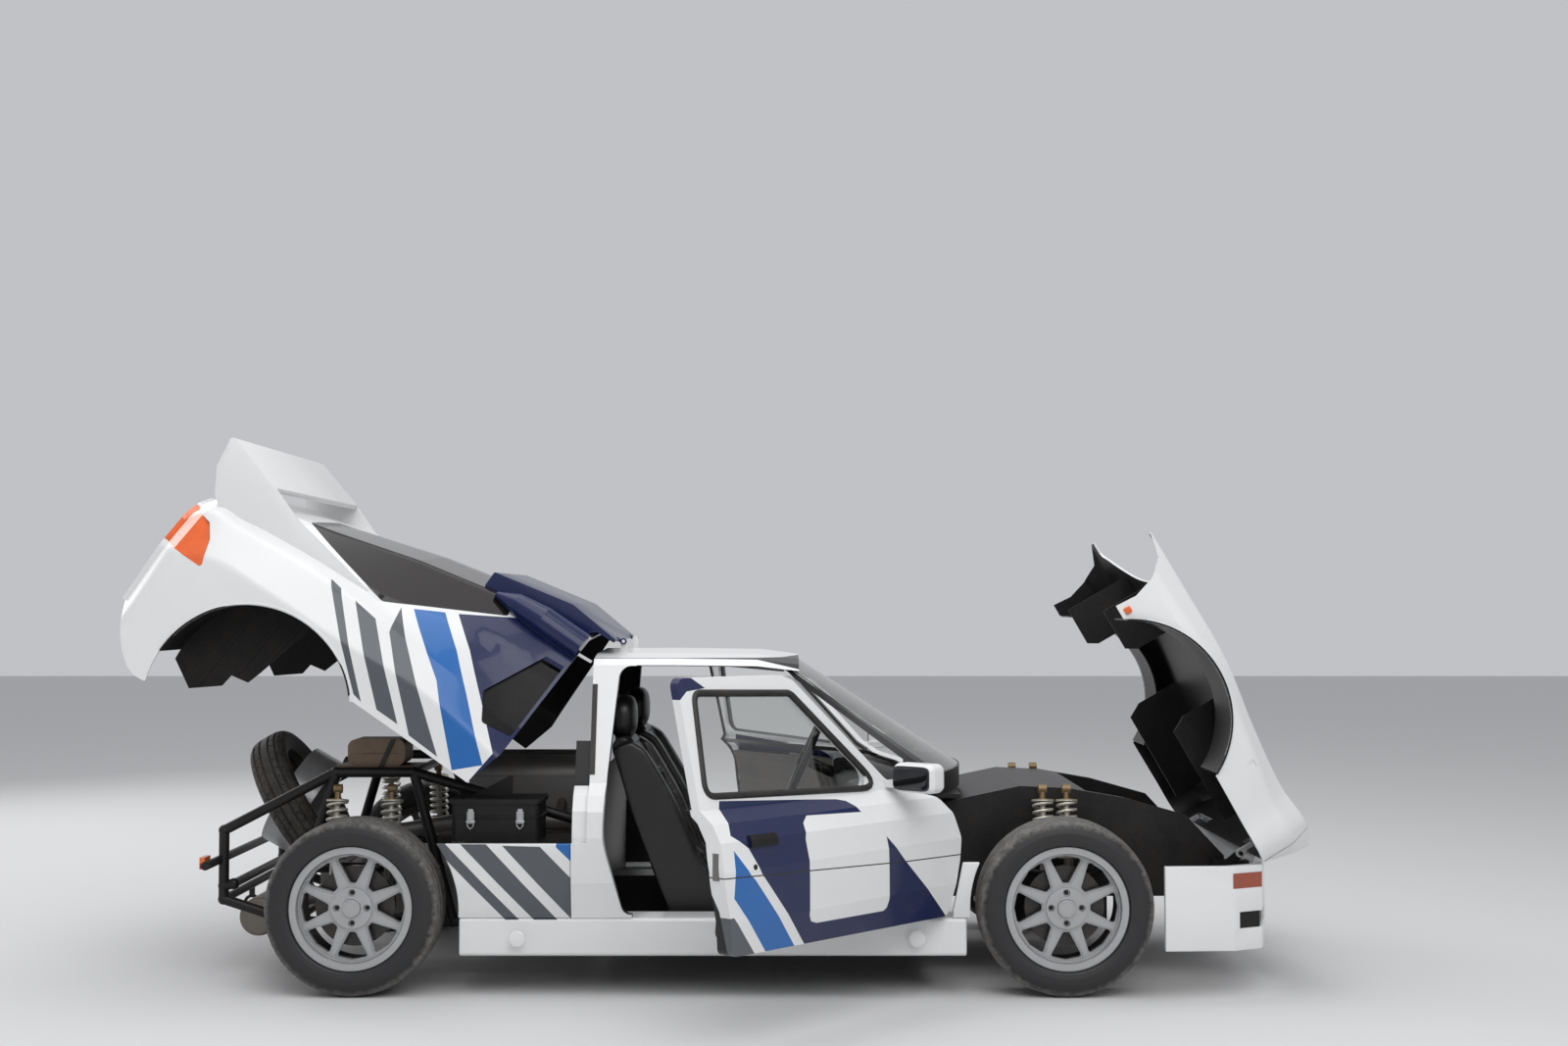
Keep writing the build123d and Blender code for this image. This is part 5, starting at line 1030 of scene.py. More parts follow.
def arch_points(panel, lid, arch, side):
    """Points along a lid's arch in the closed pose: the opened mesh is turned back by its hinge first."""
    middle_x, middle_z, radius = arch
    x, z, angle = HINGES[lid]
    back = np.array(rotation(x, 0, z, "Y", -angle))
    points = (mesh_points(panel.data) @ back[:3, :3].T + back[:3, 3]) / MM
    away = np.hypot(points[:, 0] - middle_x, points[:, 2] - middle_z)
    points = points[(np.abs(away - radius) < 0.8) & (points[:, 1] * side > 600)]
    turn = np.degrees(np.arctan2(points[:, 2] - middle_z, points[:, 0] - middle_x))
    row = []
    for step in range(-30, 213, 3):
        near = points[np.abs(turn - step) < 2.0]
        if len(near):
            a = math.radians(step)
            row.append((middle_x + radius * math.cos(a), side * (np.abs(near[:, 1]).max() - LIP_SINK),
                        middle_z + radius * math.sin(a)))
    return np.array(row)


for lid, panel, arch, lowest in LID_ARCHES:
    for side, side_name in SIDES:
        row = arch_points(panel, lid, arch, side)
        row = row[row[:, 2] > lowest]
        lip = tube(f"{lid}_arch_lip_{side_name}", row, 6.5, sides=12)
        open_lid(lip, lid)
        smooth(lip, 60)
        add_piece(lip, f"{lid}_clamshell", "white_paint", f"{lid}_lip")
        print(lid, side_name, "lip points:", len(row))

# %% [markdown]
# ## Arch walls and bumper ducts
# Behind the rear wheels a thin black panel hangs from the lid and shields the engine bay from stones. Three
# folds stiffen it. The bumper's corners have black ducts for the brakes, narrow solids that follow its
# plan.

# %% Arch walls and bumper ducts
ARCH_WALL = ((-28, 609), (-76, 400), (-92, 345), (-157, 331), (-163, 281), (-256, 203))
WALL_FOLDS = ((-150, 345, -130, 640), (-245, 225, -225, 600), (-90, 420, -60, 650))
DUCT_PLAN = ((607, 829), (692, 783), (752, 557), (746, 556), (687, 779), (604, 824))
DUCT_HEIGHTS = (238, 304)
WALL_RADIUS = 364
WALL_TURN = (93, 188)
WALL_SPAN = (621, 625)
FOLD_SPAN = (624, 629)
FOLD_WIDTH = 14

for side, side_name in SIDES:
    angles = np.radians(np.linspace(*WALL_TURN, 30))
    outline = [(REAR_AXLE + WALL_RADIUS * math.cos(a), REAR_ARCH[1] + WALL_RADIUS * math.sin(a))
               for a in angles]
    outline += shifted(ARCH_WALL[::-1], REAR_AXLE)
    wall = side_prism("wall", outline, side, *WALL_SPAN)
    bars = [[(x0, z0), (x0 + FOLD_WIDTH, z0), (x1 + FOLD_WIDTH, z1), (x1, z1)]
            for x0, z0, x1, z1 in WALL_FOLDS]
    folds = [side_prism("fold", shifted(bar, REAR_AXLE), side, *FOLD_SPAN) for bar in bars]
    wall = named(f"rear_arch_wall_{side_name}", wall, *folds)
    open_lid(wall, "rear")
    add_piece(wall, "rear_clamshell", "black_plastic", "liner_plastic")
    duct = between(f"bumper_duct_{side_name}",
                   *([(FRONT_AXLE + x, side * y, z) for x, y in DUCT_PLAN] for z in DUCT_HEIGHTS))
    add_piece(duct, "chassis", "black_plastic", "black_plastic")
print("arch wall:", len(wall.data.polygons), "faces")

# %% [markdown]
# ## Wheel bolts and rings
# Four hexagon bolts hold each rim, and thin polished rings mark its hub and its outer edge. They ride on
# the wheel, so they turn with it.

# %% Wheel bolts and rings
BOLT_CIRCLE = 54.0
BOLT_RADIUS = 8.5
BOLT_DEPTHS = (26, 9)
BOLT_TURNS = np.radians((0, 90, 180, 270))
HUB_FACE = {"front": 826.0, "rear": 823.5}
HUB_RINGS = ((33.5, 0.5, 2.2), (25.0, 10.0, 1.3), (189.0, 1.0, 2.0))


def bolt(axle, turn, side, face):
    """Hexagon bolt at an angle on the bolt circle."""
    x = axle + BOLT_CIRCLE * math.cos(turn)
    z = TYRE_RADIUS + BOLT_CIRCLE * math.sin(turn)
    return side_prism("bolt", circle(x, z, BOLT_RADIUS, 6), side, *(face - depth for depth in BOLT_DEPTHS))


def hub_ring(axle, radius, y, thick):
    """Closed tube on a circle about the axle."""
    return tube("ring", [(x, y, z) for x, z in circle(axle, TYRE_RADIUS, radius, 48)], thick, True)


for end, axle in AXLES:
    face = HUB_FACE[end]
    for side, side_name in SIDES:
        wheel = f"{end}_{side_name}"
        bolts = named(f"wheel_bolts_{wheel}",
                      *(bolt(axle, turn, side, face) for turn in BOLT_TURNS))
        add_piece(bolts, f"wheel_{wheel}", "black_steel", "black_steel")
        rings = named(f"wheel_rings_{wheel}",
                      *(hub_ring(axle, radius, side * (face + out), thick)
                        for radius, out, thick in HUB_RINGS))
        smooth(rings, 60)
        add_piece(rings, f"wheel_{wheel}", "alloy", "alloy")
print("bolts:", len(bolts.data.polygons), "faces, rings:", len(rings.data.polygons))

# %% [markdown]
# ## Body details
# Small things tell the eye how big the car is. Amber repeaters sit on the wings, and a rubber strip lies on
# each pillar behind the lid, a few millimetres proud of the skin's half width.

# %% Repeaters and pillar strips
REPEATER = (FRONT_AXLE - 325, 845, 508)
PILLAR_STRIP = ((-489, 775), (-470, 775), (-470, 930), (-470, 1095), (-489, 1095), (-489, 930))

for side, side_name in SIDES:
    x, y, z = REPEATER
    lens = superellipsoid(f"wing_repeater_{side_name}", (x, side * y, z), (13, 5, 13), 5.0, 14, 40)
    open_lid(lens, "front")
    smooth(lens, 50)
    add_piece(lens, "front_clamshell", "amber_lens", "amber_lens")

for side, side_name in SIDES:
    strip = between(f"pillar_strip_{side_name}",
                    *([(x, side * (skin_y(z) + out), z) for x, z in PILLAR_STRIP] for out in (-6, 2)))
    add_piece(strip, "chassis", "black_plastic", "rubber")
print("repeater:", len(lens.data.polygons), "faces")

# %% [markdown]
# The air box is moulded plastic, held shut by sprung wire clips, and the heat shield is folded sheet with a
# welded seam. A few plates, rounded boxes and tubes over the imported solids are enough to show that.

# %% Air box and heat shield
FLANGE_PLACE = (-828, -595, 620)
CLIP_PLACES = (-918, -740)
BRACKET = ((-943, 680, 6), (-788, 680, 6), (-784, 764, 10))
BRACKET_SPAN = (-564, -558)
STRAP = ((-1262, 881), (-1244, 881), (-1290, 778), (-1308, 778))
STRAP_SPAN = (-426, -418)
SEAM_PLACE = (-1317, -335, 826)

flange = superellipsoid("air_box_flange", FLANGE_PLACE, (166, 111, 6), 8.0, 14, 72)
smooth(flange, 50)
add_piece(flange, "chassis", "black_plastic", "black_plastic")


def clip(x):
    """Spring clip: a plate, a hook, and a loop of wire between them."""
    plate = [(x - 12, 596, 4), (x + 12, 596, 4), (x + 9, 650, 4), (x - 9, 650, 4)]
    loop = [(x - 11, -712, 640), (x - 11, -716, 590), (x, -717, 578), (x + 11, -716, 590),
            (x + 11, -712, 640)]
    return (prism("clip", closed_outline(plate), -712, -707),
            superellipsoid("hook", (x, -713, 604), (17, 5, 7), 3.0, 10, 24),
            tube("loop", loop, 2.4))


clips = named("air_box_clips", *(part for x in CLIP_PLACES for part in clip(x)))
add_piece(clips, "chassis", "alloy", "alloy")
bracket = prism("air_box_bracket", closed_outline(BRACKET), *BRACKET_SPAN)
add_piece(bracket, "chassis", "black_plastic", "black_plastic")
strap = prism("heat_shield_strap", STRAP, *STRAP_SPAN)
add_piece(strap, "chassis", "black_steel", "rubber")
seam = superellipsoid("heat_shield_seam", SEAM_PLACE, (108, 89, 4), 6.0, 12, 60)
smooth(seam, 50)
add_piece(seam, "chassis", "heat_shield_metal", "heat_shield_metal")
print("pieces:", len(DRESSES))

# %% [markdown]
# ## Finishes
# A finish is a small tree of nodes round one shader. Written by hand, the links of such a tree hide what it
# does, so a few helpers are made first. Each adds one node, links what is a socket and sets what is a
# value.

# %% Node helpers


def feed(tree, socket, value):
    """Link a socket to an input, or set the input; a colour of three numbers gets an alpha of 1."""
    if isinstance(value, bpy.types.NodeSocket):
        tree.links.new(value, socket)
    elif socket.type == "RGBA" and len(value) == 3:
        socket.default_value = (*value, 1.0)
    else:
        socket.default_value = value


def fill(tree, node, values):
    """Feed several inputs of a node, by place or name."""
    for key, value in values.items():
        feed(tree, node.inputs[key], value)


def add_node(tree, kind, inputs=(), **settings):
    """Add a node with its properties and inputs."""
    node = tree.nodes.new(kind)
    for key, value in settings.items():
        setattr(node, key, value)
    fill(tree, node, dict(inputs))
    return node


def calculate(tree, operation, *values, clamp=False):
    """Math node over values in order; gives its result."""
    node = add_node(tree, "ShaderNodeMath", dict(enumerate(values)), operation=operation, use_clamp=clamp)
    return node.outputs[0]


def vector_node(tree, operation, *values):
    """Vector Math node over values in order."""
    return add_node(tree, "ShaderNodeVectorMath", dict(enumerate(values)), operation=operation)


def spread_out(tree, value, low, high, to_low=0.0, to_high=1.0):
    """Map Range: the span from low to high becomes the span from to_low to to_high."""
    limits = {"From Min": low, "From Max": high, "To Min": to_low, "To Max": to_high}
    return add_node(tree, "ShaderNodeMapRange", {"Value": value, **limits}).outputs[0]


def noise(tree, vector, scale, detail, **more):
    """Noise between 0 and 1."""
    inputs = {"Vector": vector, "Scale": scale, "Detail": detail, **more}
    return add_node(tree, "ShaderNodeTexNoise", inputs).outputs["Fac"]


def mix_colour(tree, factor, a, b):
    """Colour mix; factor, a and b may be sockets or values."""
    node = add_node(tree, "ShaderNodeMix", data_type="RGBA")
    colours = {socket.name: socket for socket in node.inputs if socket.type == "RGBA"}
    amount = next(socket for socket in node.inputs if socket.name == "Factor" and socket.type == "VALUE")
    for socket, value in ((amount, factor), (colours["A"], a), (colours["B"], b)):
        feed(tree, socket, value)
    return next(socket for socket in node.outputs if socket.type == "RGBA")


def new_material(name):
    """Material with a Principled shader; gives it with its tree and shader."""
    material = bpy.data.materials.new(name)
    material.use_nodes = True
    return material, material.node_tree, material.node_tree.nodes["Principled BSDF"]


print("node helpers ready")

# %% [markdown]
# ## Dust
# A rally car is never quite clean. Dust gathers in soft patches with a fine grain, so two scales of noise
# are multiplied and their middle is spread to a mask. Every finish needs it, so it is a node group with its
# own sockets, and it gives only a colour and a mask: the shader stays in each material.

# %% Dust group
DUST_TONE = (0.30, 0.24, 0.17)


def group_tree(name, inputs, outputs):
    """Empty shader group with named sockets."""
    group = bpy.data.node_groups.new(name, "ShaderNodeTree")
    for socket, kind, value in inputs:
        made = group.interface.new_socket(name=socket, in_out="INPUT", socket_type=kind)
        if value is not None:
            made.default_value = value
    for socket, kind in outputs:
        group.interface.new_socket(name=socket, in_out="OUTPUT", socket_type=kind)
    start = group.nodes.new("NodeGroupInput")
    finish = group.nodes.new("NodeGroupOutput")
    return group, start, finish


def make_dust_group():
    """Dust: mask = amount x spread(broad noise x fine noise), and the colour mixed by it."""
    group, start, finish = group_tree("dust", (
        ("Vector", "NodeSocketVector", None), ("Color", "NodeSocketColor", (0.5, 0.5, 0.5, 1)),
        ("Dust Color", "NodeSocketColor", (*DUST_TONE, 1)), ("Amount", "NodeSocketFloat", 0.3),
        ("Scale", "NodeSocketFloat", 6.0)), (("Color", "NodeSocketColor"), ("Mask", "NodeSocketFloat")))
    given = start.outputs
    broad = noise(group, given["Vector"], given["Scale"], 6.0, Roughness=0.62)
    fine = noise(group, given["Vector"], 220.0, 3.0)
    patches = spread_out(group, calculate(group, "MULTIPLY", broad, fine), 0.16, 0.38)
    mask = calculate(group, "MULTIPLY", patches, given["Amount"], clamp=True)
    fill(group, finish, {"Color": mix_colour(group, mask, given["Color"], given["Dust Color"]), "Mask": mask})
    return group


DUST = make_dust_group()


def dusted(tree, vector, colour, amount, dust_colour=DUST_TONE, scale=6.0):
    """Dust group over a colour; gives the colour and the mask."""
    node = add_node(tree, "ShaderNodeGroup", node_tree=DUST)
    fill(tree, node, {"Vector": vector, "Color": colour, "Dust Color": dust_colour, "Amount": amount,
                      "Scale": scale})
    return node.outputs["Color"], node.outputs["Mask"]


print("dust group:", len(DUST.nodes), "nodes")

# %% [markdown]
# ## One pattern over several parts
# The stripes run over lid, door and side panel. A picture could be wrapped round the car, but each part has
# coordinates of its own only when it is shut. So a part of a lid or a door first turns its Object
# coordinates back to the closed pose, and the stripes then line up by themselves.

# %% Coordinates of the closed pose


def object_coordinates(tree, lid=None, door=None):
    """Object coordinates, turned back about the hinge for a lid or a door."""
    coordinates = tree.nodes.new("ShaderNodeTexCoord").outputs["Object"]
    if lid is None and door is None:
        return coordinates
    if lid is not None:
        x, z, angle = HINGES[lid]
        centre, axis, turn = (x * MM, 0, z * MM), (0, 1, 0), math.radians(-angle)
    else:
        x, y, angle = DOOR_HINGE
        centre, axis, turn = (x * MM, door * y * MM, 0), (0, 0, 1), math.radians(angle * door)
    inputs = {"Vector": coordinates, "Center": centre, "Axis": axis, "Angle": turn}
    return add_node(tree, "ShaderNodeVectorRotate", inputs, rotation_type="AXIS_ANGLE").outputs[0]


def split(tree, vector):
    """The x, y and z of a vector."""
    return add_node(tree, "ShaderNodeSeparateXYZ", {0: vector}).outputs


print("hinges to turn back:", len(HINGES) + len(SIDES))

# %% [markdown]
# ## Cutting polygons into convex parts
# A shader can tell which side of a line a point is on, and several sides together give a convex shape. A
# band with a hollow corner is cut into convex parts first, here in plain Python, since it happens once for
# each band.

# %% Cutting polygons into convex parts


def cross(a, b, c):
    """Twice the signed area of a triangle."""
    return (b[0] - a[0]) * (c[1] - b[1]) - (b[1] - a[1]) * (c[0] - b[0])


def wound(corners):
    """The corners in anticlockwise order."""
    total = sum(a[0] * b[1] - b[0] * a[1] for a, b in zip(corners, corners[1:] + corners[:1]))
    return corners if total > 0 else corners[::-1]


def balance(shape, k, s):
    """How far a diagonal from corner k splits its angle on both sides."""
    n = len(shape)
    a, b, c, d = shape[k - 1], shape[k], shape[(k + 1) % n], shape[(k + s) % n]
    return cross(a, b, d), cross(d, b, c)


def convex(corners):
    """Split a polygon into convex parts: at a hollow corner, along the diagonal that splits it best."""
    pieces = [wound(corners)]
    result = []
    while pieces:
        shape = pieces.pop()
        n = len(shape)
        hollow = [k for k in range(n) if cross(shape[k - 1], shape[k], shape[(k + 1) % n]) < 0]
        if not hollow:
            result.append(shape)
            continue
        k = hollow[0]
        best = max(range(2, n - 1), key=lambda s: min(balance(shape, k, s)))
        far = (k + best) % n
        pieces += [[shape[(k + s) % n] for s in range(best + 1)],
                   [shape[(far + s) % n] for s in range(n - best + 1)]]
    return result


print("parts of an L:", len(convex([(0, 0), (2, 0), (2, 1), (1, 1), (1, 2), (0, 2)])))

# %% [markdown]
# ## Masks of straight-edged bands
# A painted stripe is masked with tape, so its edge is a straight line. In a shader, the side of a line is a
# dot product: (P - p) . n > 0. Several such masks multiplied give a convex polygon, and any other polygon
# is the sum of convex ones. The step is 1 mm wide, which keeps the edge crisp without jagged pixels.

# %% Masks
EDGE_SHARPNESS = 1000.0


def left_of(tree, vector, p, q):
    """Mask that is 1 left of the line from p to q in the side view, in metres from the origin."""
    (x0, z0), (x1, z1) = p, q
    length = math.hypot(x1 - x0, z1 - z0)
    nx, nz = -(z1 - z0) / length, (x1 - x0) / length
    dot = vector_node(tree, "DOT_PRODUCT", vector, (nx, 0, nz)).outputs["Value"]
    offset = 0.5 - EDGE_SHARPNESS * (nx * x0 + nz * z0)
    return calculate(tree, "MULTIPLY_ADD", dot, EDGE_SHARPNESS, offset, clamp=True)


def product(tree, masks):
    """Masks multiplied together."""
    result = masks[0]
    for mask in masks[1:]:
        result = calculate(tree, "MULTIPLY", result, mask)
    return result


def band_mask(tree, vector, corners):
    """Mask of any polygon: the sum of its convex parts, which join without a seam."""
    total = None
    for part in convex(corners):
        part = [(x * MM, z * MM) for x, z in part]
        mask = product(tree, [left_of(tree, vector, p, q) for p, q in zip(part, part[1:] + part[:1])])
        total = mask if total is None else calculate(tree, "ADD", total, mask, clamp=True)
    return total


print("width of a band's edge:", 1 / EDGE_SHARPNESS, "m")

# %% [markdown]
# ## Tables of the bands
# Each band is a colour and its corners in the side view, measured from the nearer axle. Where bands
# overlap, the later one lies on top, as the later coat of paint does.

# %% Tables of the bands
WHITE = (0.75, 0.76, 0.76)
NAVY = (0.004, 0.011, 0.065)
SKY = (0.013, 0.125, 0.40)
GREY = (0.085, 0.095, 0.11)
BLACK = (0.012, 0.012, 0.013)


def placed(axle, *rows):
    """Bands with their corners moved from an axle to the car's x."""
    return tuple((colour, shifted(corners, axle)) for colour, corners in rows)


REAR_BANDS = placed(
    REAR_AXLE,
    (GREY, [(-39, 846), (280, 572), (317, 565), (12, 841)]),
    (GREY, [(81, 836), (377, 574), (467, 574), (178, 826)]),
    (GREY, [(213, 901), (246, 816), (522, 565), (648, 561)]),
    (SKY, [(345, 972), (250, 920), (377, 843), (484, 775), (717, 552), (795, 629), (595, 795), (470, 893)]),
    (NAVY, [(386, 994), (506, 918), (651, 804), (800, 683), (787, 550), (900, 540), (900, 1150),
            (560, 1100)]),
)
DOOR_BANDS = placed(
    FRONT_AXLE,
    (NAVY, [(-1573, 669), (-1507, 626), (-1454, 542), (-1206, 284), (-419, 284), (-696, 507), (-799, 602),
            (-895, 689), (-909, 710), (-929, 726), (-969, 734), (-1530, 768)]),
    (WHITE, [(-1178, 699), (-1210, 679), (-1225, 629), (-1219, 555), (-1214, 486), (-1206, 384),
             (-1194, 362), (-1164, 353), (-804, 350), (-788, 359), (-780, 384), (-791, 512), (-799, 602),
             (-895, 689), (-917, 690)]),
    (NAVY, [(-1616, 1160), (-1600, 1084), (-1560, 1110), (-1470, 1118), (-1537, 1160)]),
    (SKY, [(-1584, 479), (-1398, 284), (-1256, 285), (-1484, 525), (-1505, 542), (-1577, 625)]),
    (GREY, [(-1580, 418), (-1640, 418), (-1640, 284), (-1450, 284)]),
    (BLACK, [(-1660, 543), (-1218, 526), (-1218, 530), (-1660, 547)]),
    (BLACK, [(-1218, 526), (-701, 505), (-701, 509), (-1218, 530)]),
    (BLACK, [(-701, 505), (-350, 498), (-350, 502), (-701, 509)]),
)
PANEL_BANDS = placed(
    REAR_AXLE,
    (GREY, [(280, 541), (542, 269), (591, 269), (331, 541)]),
    (GREY, [(385, 539), (643, 269), (727, 269), (476, 539)]),
    (GREY, [(533, 534), (776, 272), (779, 416), (667, 530)]),
    (SKY, [(724, 528), (780, 474), (780, 541), (724, 541)]),
)
print("bands:", len(REAR_BANDS), len(DOOR_BANDS), len(PANEL_BANDS))

# %% [markdown]
# ## Paint and plain finishes
# Car paint is a colour under a clear coat. Dust is rougher than the coat, so one mask drives both colour
# and roughness, and a very fine bump gives the slight orange peel of sprayed paint. Steel, plastic and
# leather use one general finish, with a gentle change of tone, since no real surface is one flat colour.

# %% Paint and plain finishes
PAINT_COAT = 0.3


def rough_from(tree, shader, mask, clean_rough, dirty_rough):
    """Roughness that rises where the mask does."""
    feed(tree, shader.inputs["Roughness"], spread_out(tree, mask, 0.0, 1.0, clean_rough, dirty_rough))


def bump_from(tree, shader, vector, scale, strength, distance, detail=4.0):
    """Fine bump from noise."""
    height = noise(tree, vector, scale, detail)
    bump = add_node(tree, "ShaderNodeBump", {"Height": height, "Strength": strength, "Distance": distance})
    feed(tree, shader.inputs["Normal"], bump.outputs[0])


def paint(name, lid=None, door=None, bands=(), base=WHITE, dust=0.10):
    """Car paint: clear coat over bands of colour, faint dust and fine orange peel."""
    material, tree, shader = new_material(name)
    vector = object_coordinates(tree, lid, door)
    colour = base
    for shade, corners in bands:
        colour = mix_colour(tree, band_mask(tree, vector, corners), colour, shade)
    colour, mask = dusted(tree, vector, colour, dust)
    fill(tree, shader, {"Base Color": colour, "Specular IOR Level": 0.3, "Coat Weight": PAINT_COAT,
                        "Coat Roughness": 0.06})
    rough_from(tree, shader, mask, 0.28, 0.75)
    bump_from(tree, shader, vector, 320.0, 0.05, 0.0006, 2.0)
    return material


def plain(name, colour, rough, metallic=0.0, dust=0.25, scale=8.0, bump=0.15, bump_scale=260.0, lid=None,
          coat=0.0, dust_colour=DUST_TONE, spread=0.2, specular=0.5):
    """General finish: colour with dust, noise in roughness and fine bump."""
    material, tree, shader = new_material(name)
    vector = object_coordinates(tree, lid)
    darker = tuple(c * (1 - spread) for c in colour)
    lighter = tuple(min(c * (1 + spread), 1) for c in colour)
    varied = mix_colour(tree, noise(tree, vector, scale * 2.5, 5.0), darker, lighter)
    tone, mask = dusted(tree, vector, varied, dust, dust_colour, scale)
    fill(tree, shader, {"Base Color": tone, "Metallic": metallic, "Specular IOR Level": specular,
                        "Coat Weight": coat})
    rough_from(tree, shader, mask, rough, min(rough + 0.35, 1.0))
    bump_from(tree, shader, vector, bump_scale, bump, 0.0008)
    return material


print("share of clear coat on the paint:", PAINT_COAT)

# %% [markdown]
# ## Parts of two finishes
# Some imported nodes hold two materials: lamps with a red and an amber field, dampers with a bare spring and
# a brass eye, doors painted outside and lined inside. Their meshes could be cut, but a mask of height or
# width does the same without a new seam.

# %% Parts of two finishes
LINING = (0.014, 0.014, 0.015)
SKIN_SLOPE = -0.330
SHOULDER = (0.735, 0.745)
WIDEST_LINING = 0.795
ROOF_LINING = 1.188


def split_material(name, height, low, high, rough, metallic=0.0):
    """Finish of two colours that meet at a height, in metres; the metallic share is one for both."""
    material, tree, shader = new_material(name)
    vector = object_coordinates(tree)
    upper = calculate(tree, "GREATER_THAN", split(tree, vector)[2], height)
    colour, mask = dusted(tree, vector, mix_colour(tree, upper, low, high), 0.3, scale=9.0)
    fill(tree, shader, {"Base Color": colour, "Metallic": metallic})
    rough_from(tree, shader, mask, rough, rough + 0.3)
    bump_from(tree, shader, vector, 240.0, 0.1, 0.0006)
    return material


def lined_paint(name, depth, door=None, bands=()):
    """Paint outside; dark lining below the roof where |y| < the skin's half width - depth."""
    material = paint(name, door=door, bands=bands, dust=0.04)
    tree = material.node_tree
    shader = tree.nodes["Principled BSDF"]
    _, y, z = split(tree, object_coordinates(tree, door=door))
    half_width, shoulder_z = SHOULDER
    offset = half_width - SKIN_SLOPE * shoulder_z - depth
    skin = calculate(tree, "MINIMUM", calculate(tree, "MULTIPLY_ADD", z, SKIN_SLOPE, offset), WIDEST_LINING)
    inside = calculate(tree, "LESS_THAN", calculate(tree, "ABSOLUTE", y), skin)
    mask = product(tree, [inside, calculate(tree, "LESS_THAN", z, ROOF_LINING)])
    before = shader.inputs["Base Color"].links[0].from_socket
    coat = calculate(tree, "MULTIPLY_ADD", mask, -PAINT_COAT, PAINT_COAT)
    fill(tree, shader, {"Base Color": mix_colour(tree, mask, before, LINING), "Coat Weight": coat})
    return material


print("lining ends at", ROOF_LINING, "m")

# %% [markdown]
# ## Glass, tyres and rims
# Glass is left simple, with plain transmission, and a trace of dust in its roughness shows where the pane
# is. A tyre is dusty on its tread and clean on its wall, so its mask grows with the distance from the axle.
# The silver of a rim ends where its spokes do, with dark steel behind them.

# %% Glass, tyres and rims
TREAD_DUST = (0.296, 0.314)
SPOKE_FACE = (0.768, 0.776)


def glass(name, tint, transmission=1.0, dust=0.05, lid=None, rough=0.02, specular=0.5):
    """Glass: clear or tinted, with a trace of dust in its roughness."""
    material, tree, shader = new_material(name)
    traces = noise(tree, object_coordinates(tree, lid), 14.0, 5.0)
    fill(tree, shader, {"Roughness": spread_out(tree, traces, 0.35, 0.75, rough, rough + dust),
                        "Base Color": tint, "Transmission Weight": transmission,
                        "Specular IOR Level": specular, "IOR": 1.45})
    return material


def tyre_material(name, axle):
    """Rubber, dusty where the distance from the axle, sqrt(x^2 + z^2) plus a little noise, is large."""
    material, tree, shader = new_material(name)
    vector = object_coordinates(tree)
    moved = vector_node(tree, "ADD", vector, (-axle * MM, 0, -TYRE_RADIUS * MM))
    flat = vector_node(tree, "MULTIPLY", moved.outputs[0], (1, 0, 1))
    reach = vector_node(tree, "LENGTH", flat.outputs[0]).outputs["Value"]
    grain = noise(tree, vector, 40.0, 5.0)
    dusty = spread_out(tree, calculate(tree, "MULTIPLY_ADD", grain, 0.020, reach), *TREAD_DUST, to_high=0.62)
    speckle = calculate(tree, "MULTIPLY", dusty, grain)
    shade = mix_colour(tree, speckle, (0.016, 0.016, 0.017), (0.36, 0.34, 0.31))
    feed(tree, shader.inputs["Base Color"], shade)
    rough_from(tree, shader, dusty, 0.48, 0.9)
    bump_from(tree, shader, vector, 300.0, 0.12, 0.0006)
    return material


def rim_material(name):
    """Silver paint; the brake disc and the barrel behind the spokes' face, by |y|, are dark steel."""
    material, tree, shader = new_material(name)
    vector = object_coordinates(tree)
    outer = spread_out(tree, calculate(tree, "ABSOLUTE", split(tree, vector)[1]), *SPOKE_FACE)
    grain = noise(tree, vector, 30.0, 4.0)
    steel = mix_colour(tree, grain, (0.012, 0.011, 0.010), (0.045, 0.04, 0.036))
    silver = mix_colour(tree, grain, (0.36, 0.37, 0.38), (0.42, 0.43, 0.44))
    colour, mask = dusted(tree, vector, mix_colour(tree, outer, steel, silver), 0.10)
    fill(tree, shader, {"Base Color": colour, "Metallic": 0.3, "Coat Weight": 0.2})
    rough_from(tree, shader, mask, 0.38, 0.7)
    bump_from(tree, shader, vector, 260.0, 0.05, 0.0005)
    return material


print("tread dust from", TREAD_DUST, "m, spokes from", SPOKE_FACE, "m")

# %% [markdown]
# ## Table of finishes
# Every finish of the car in one table, so that their values can be compared and changed side by side.

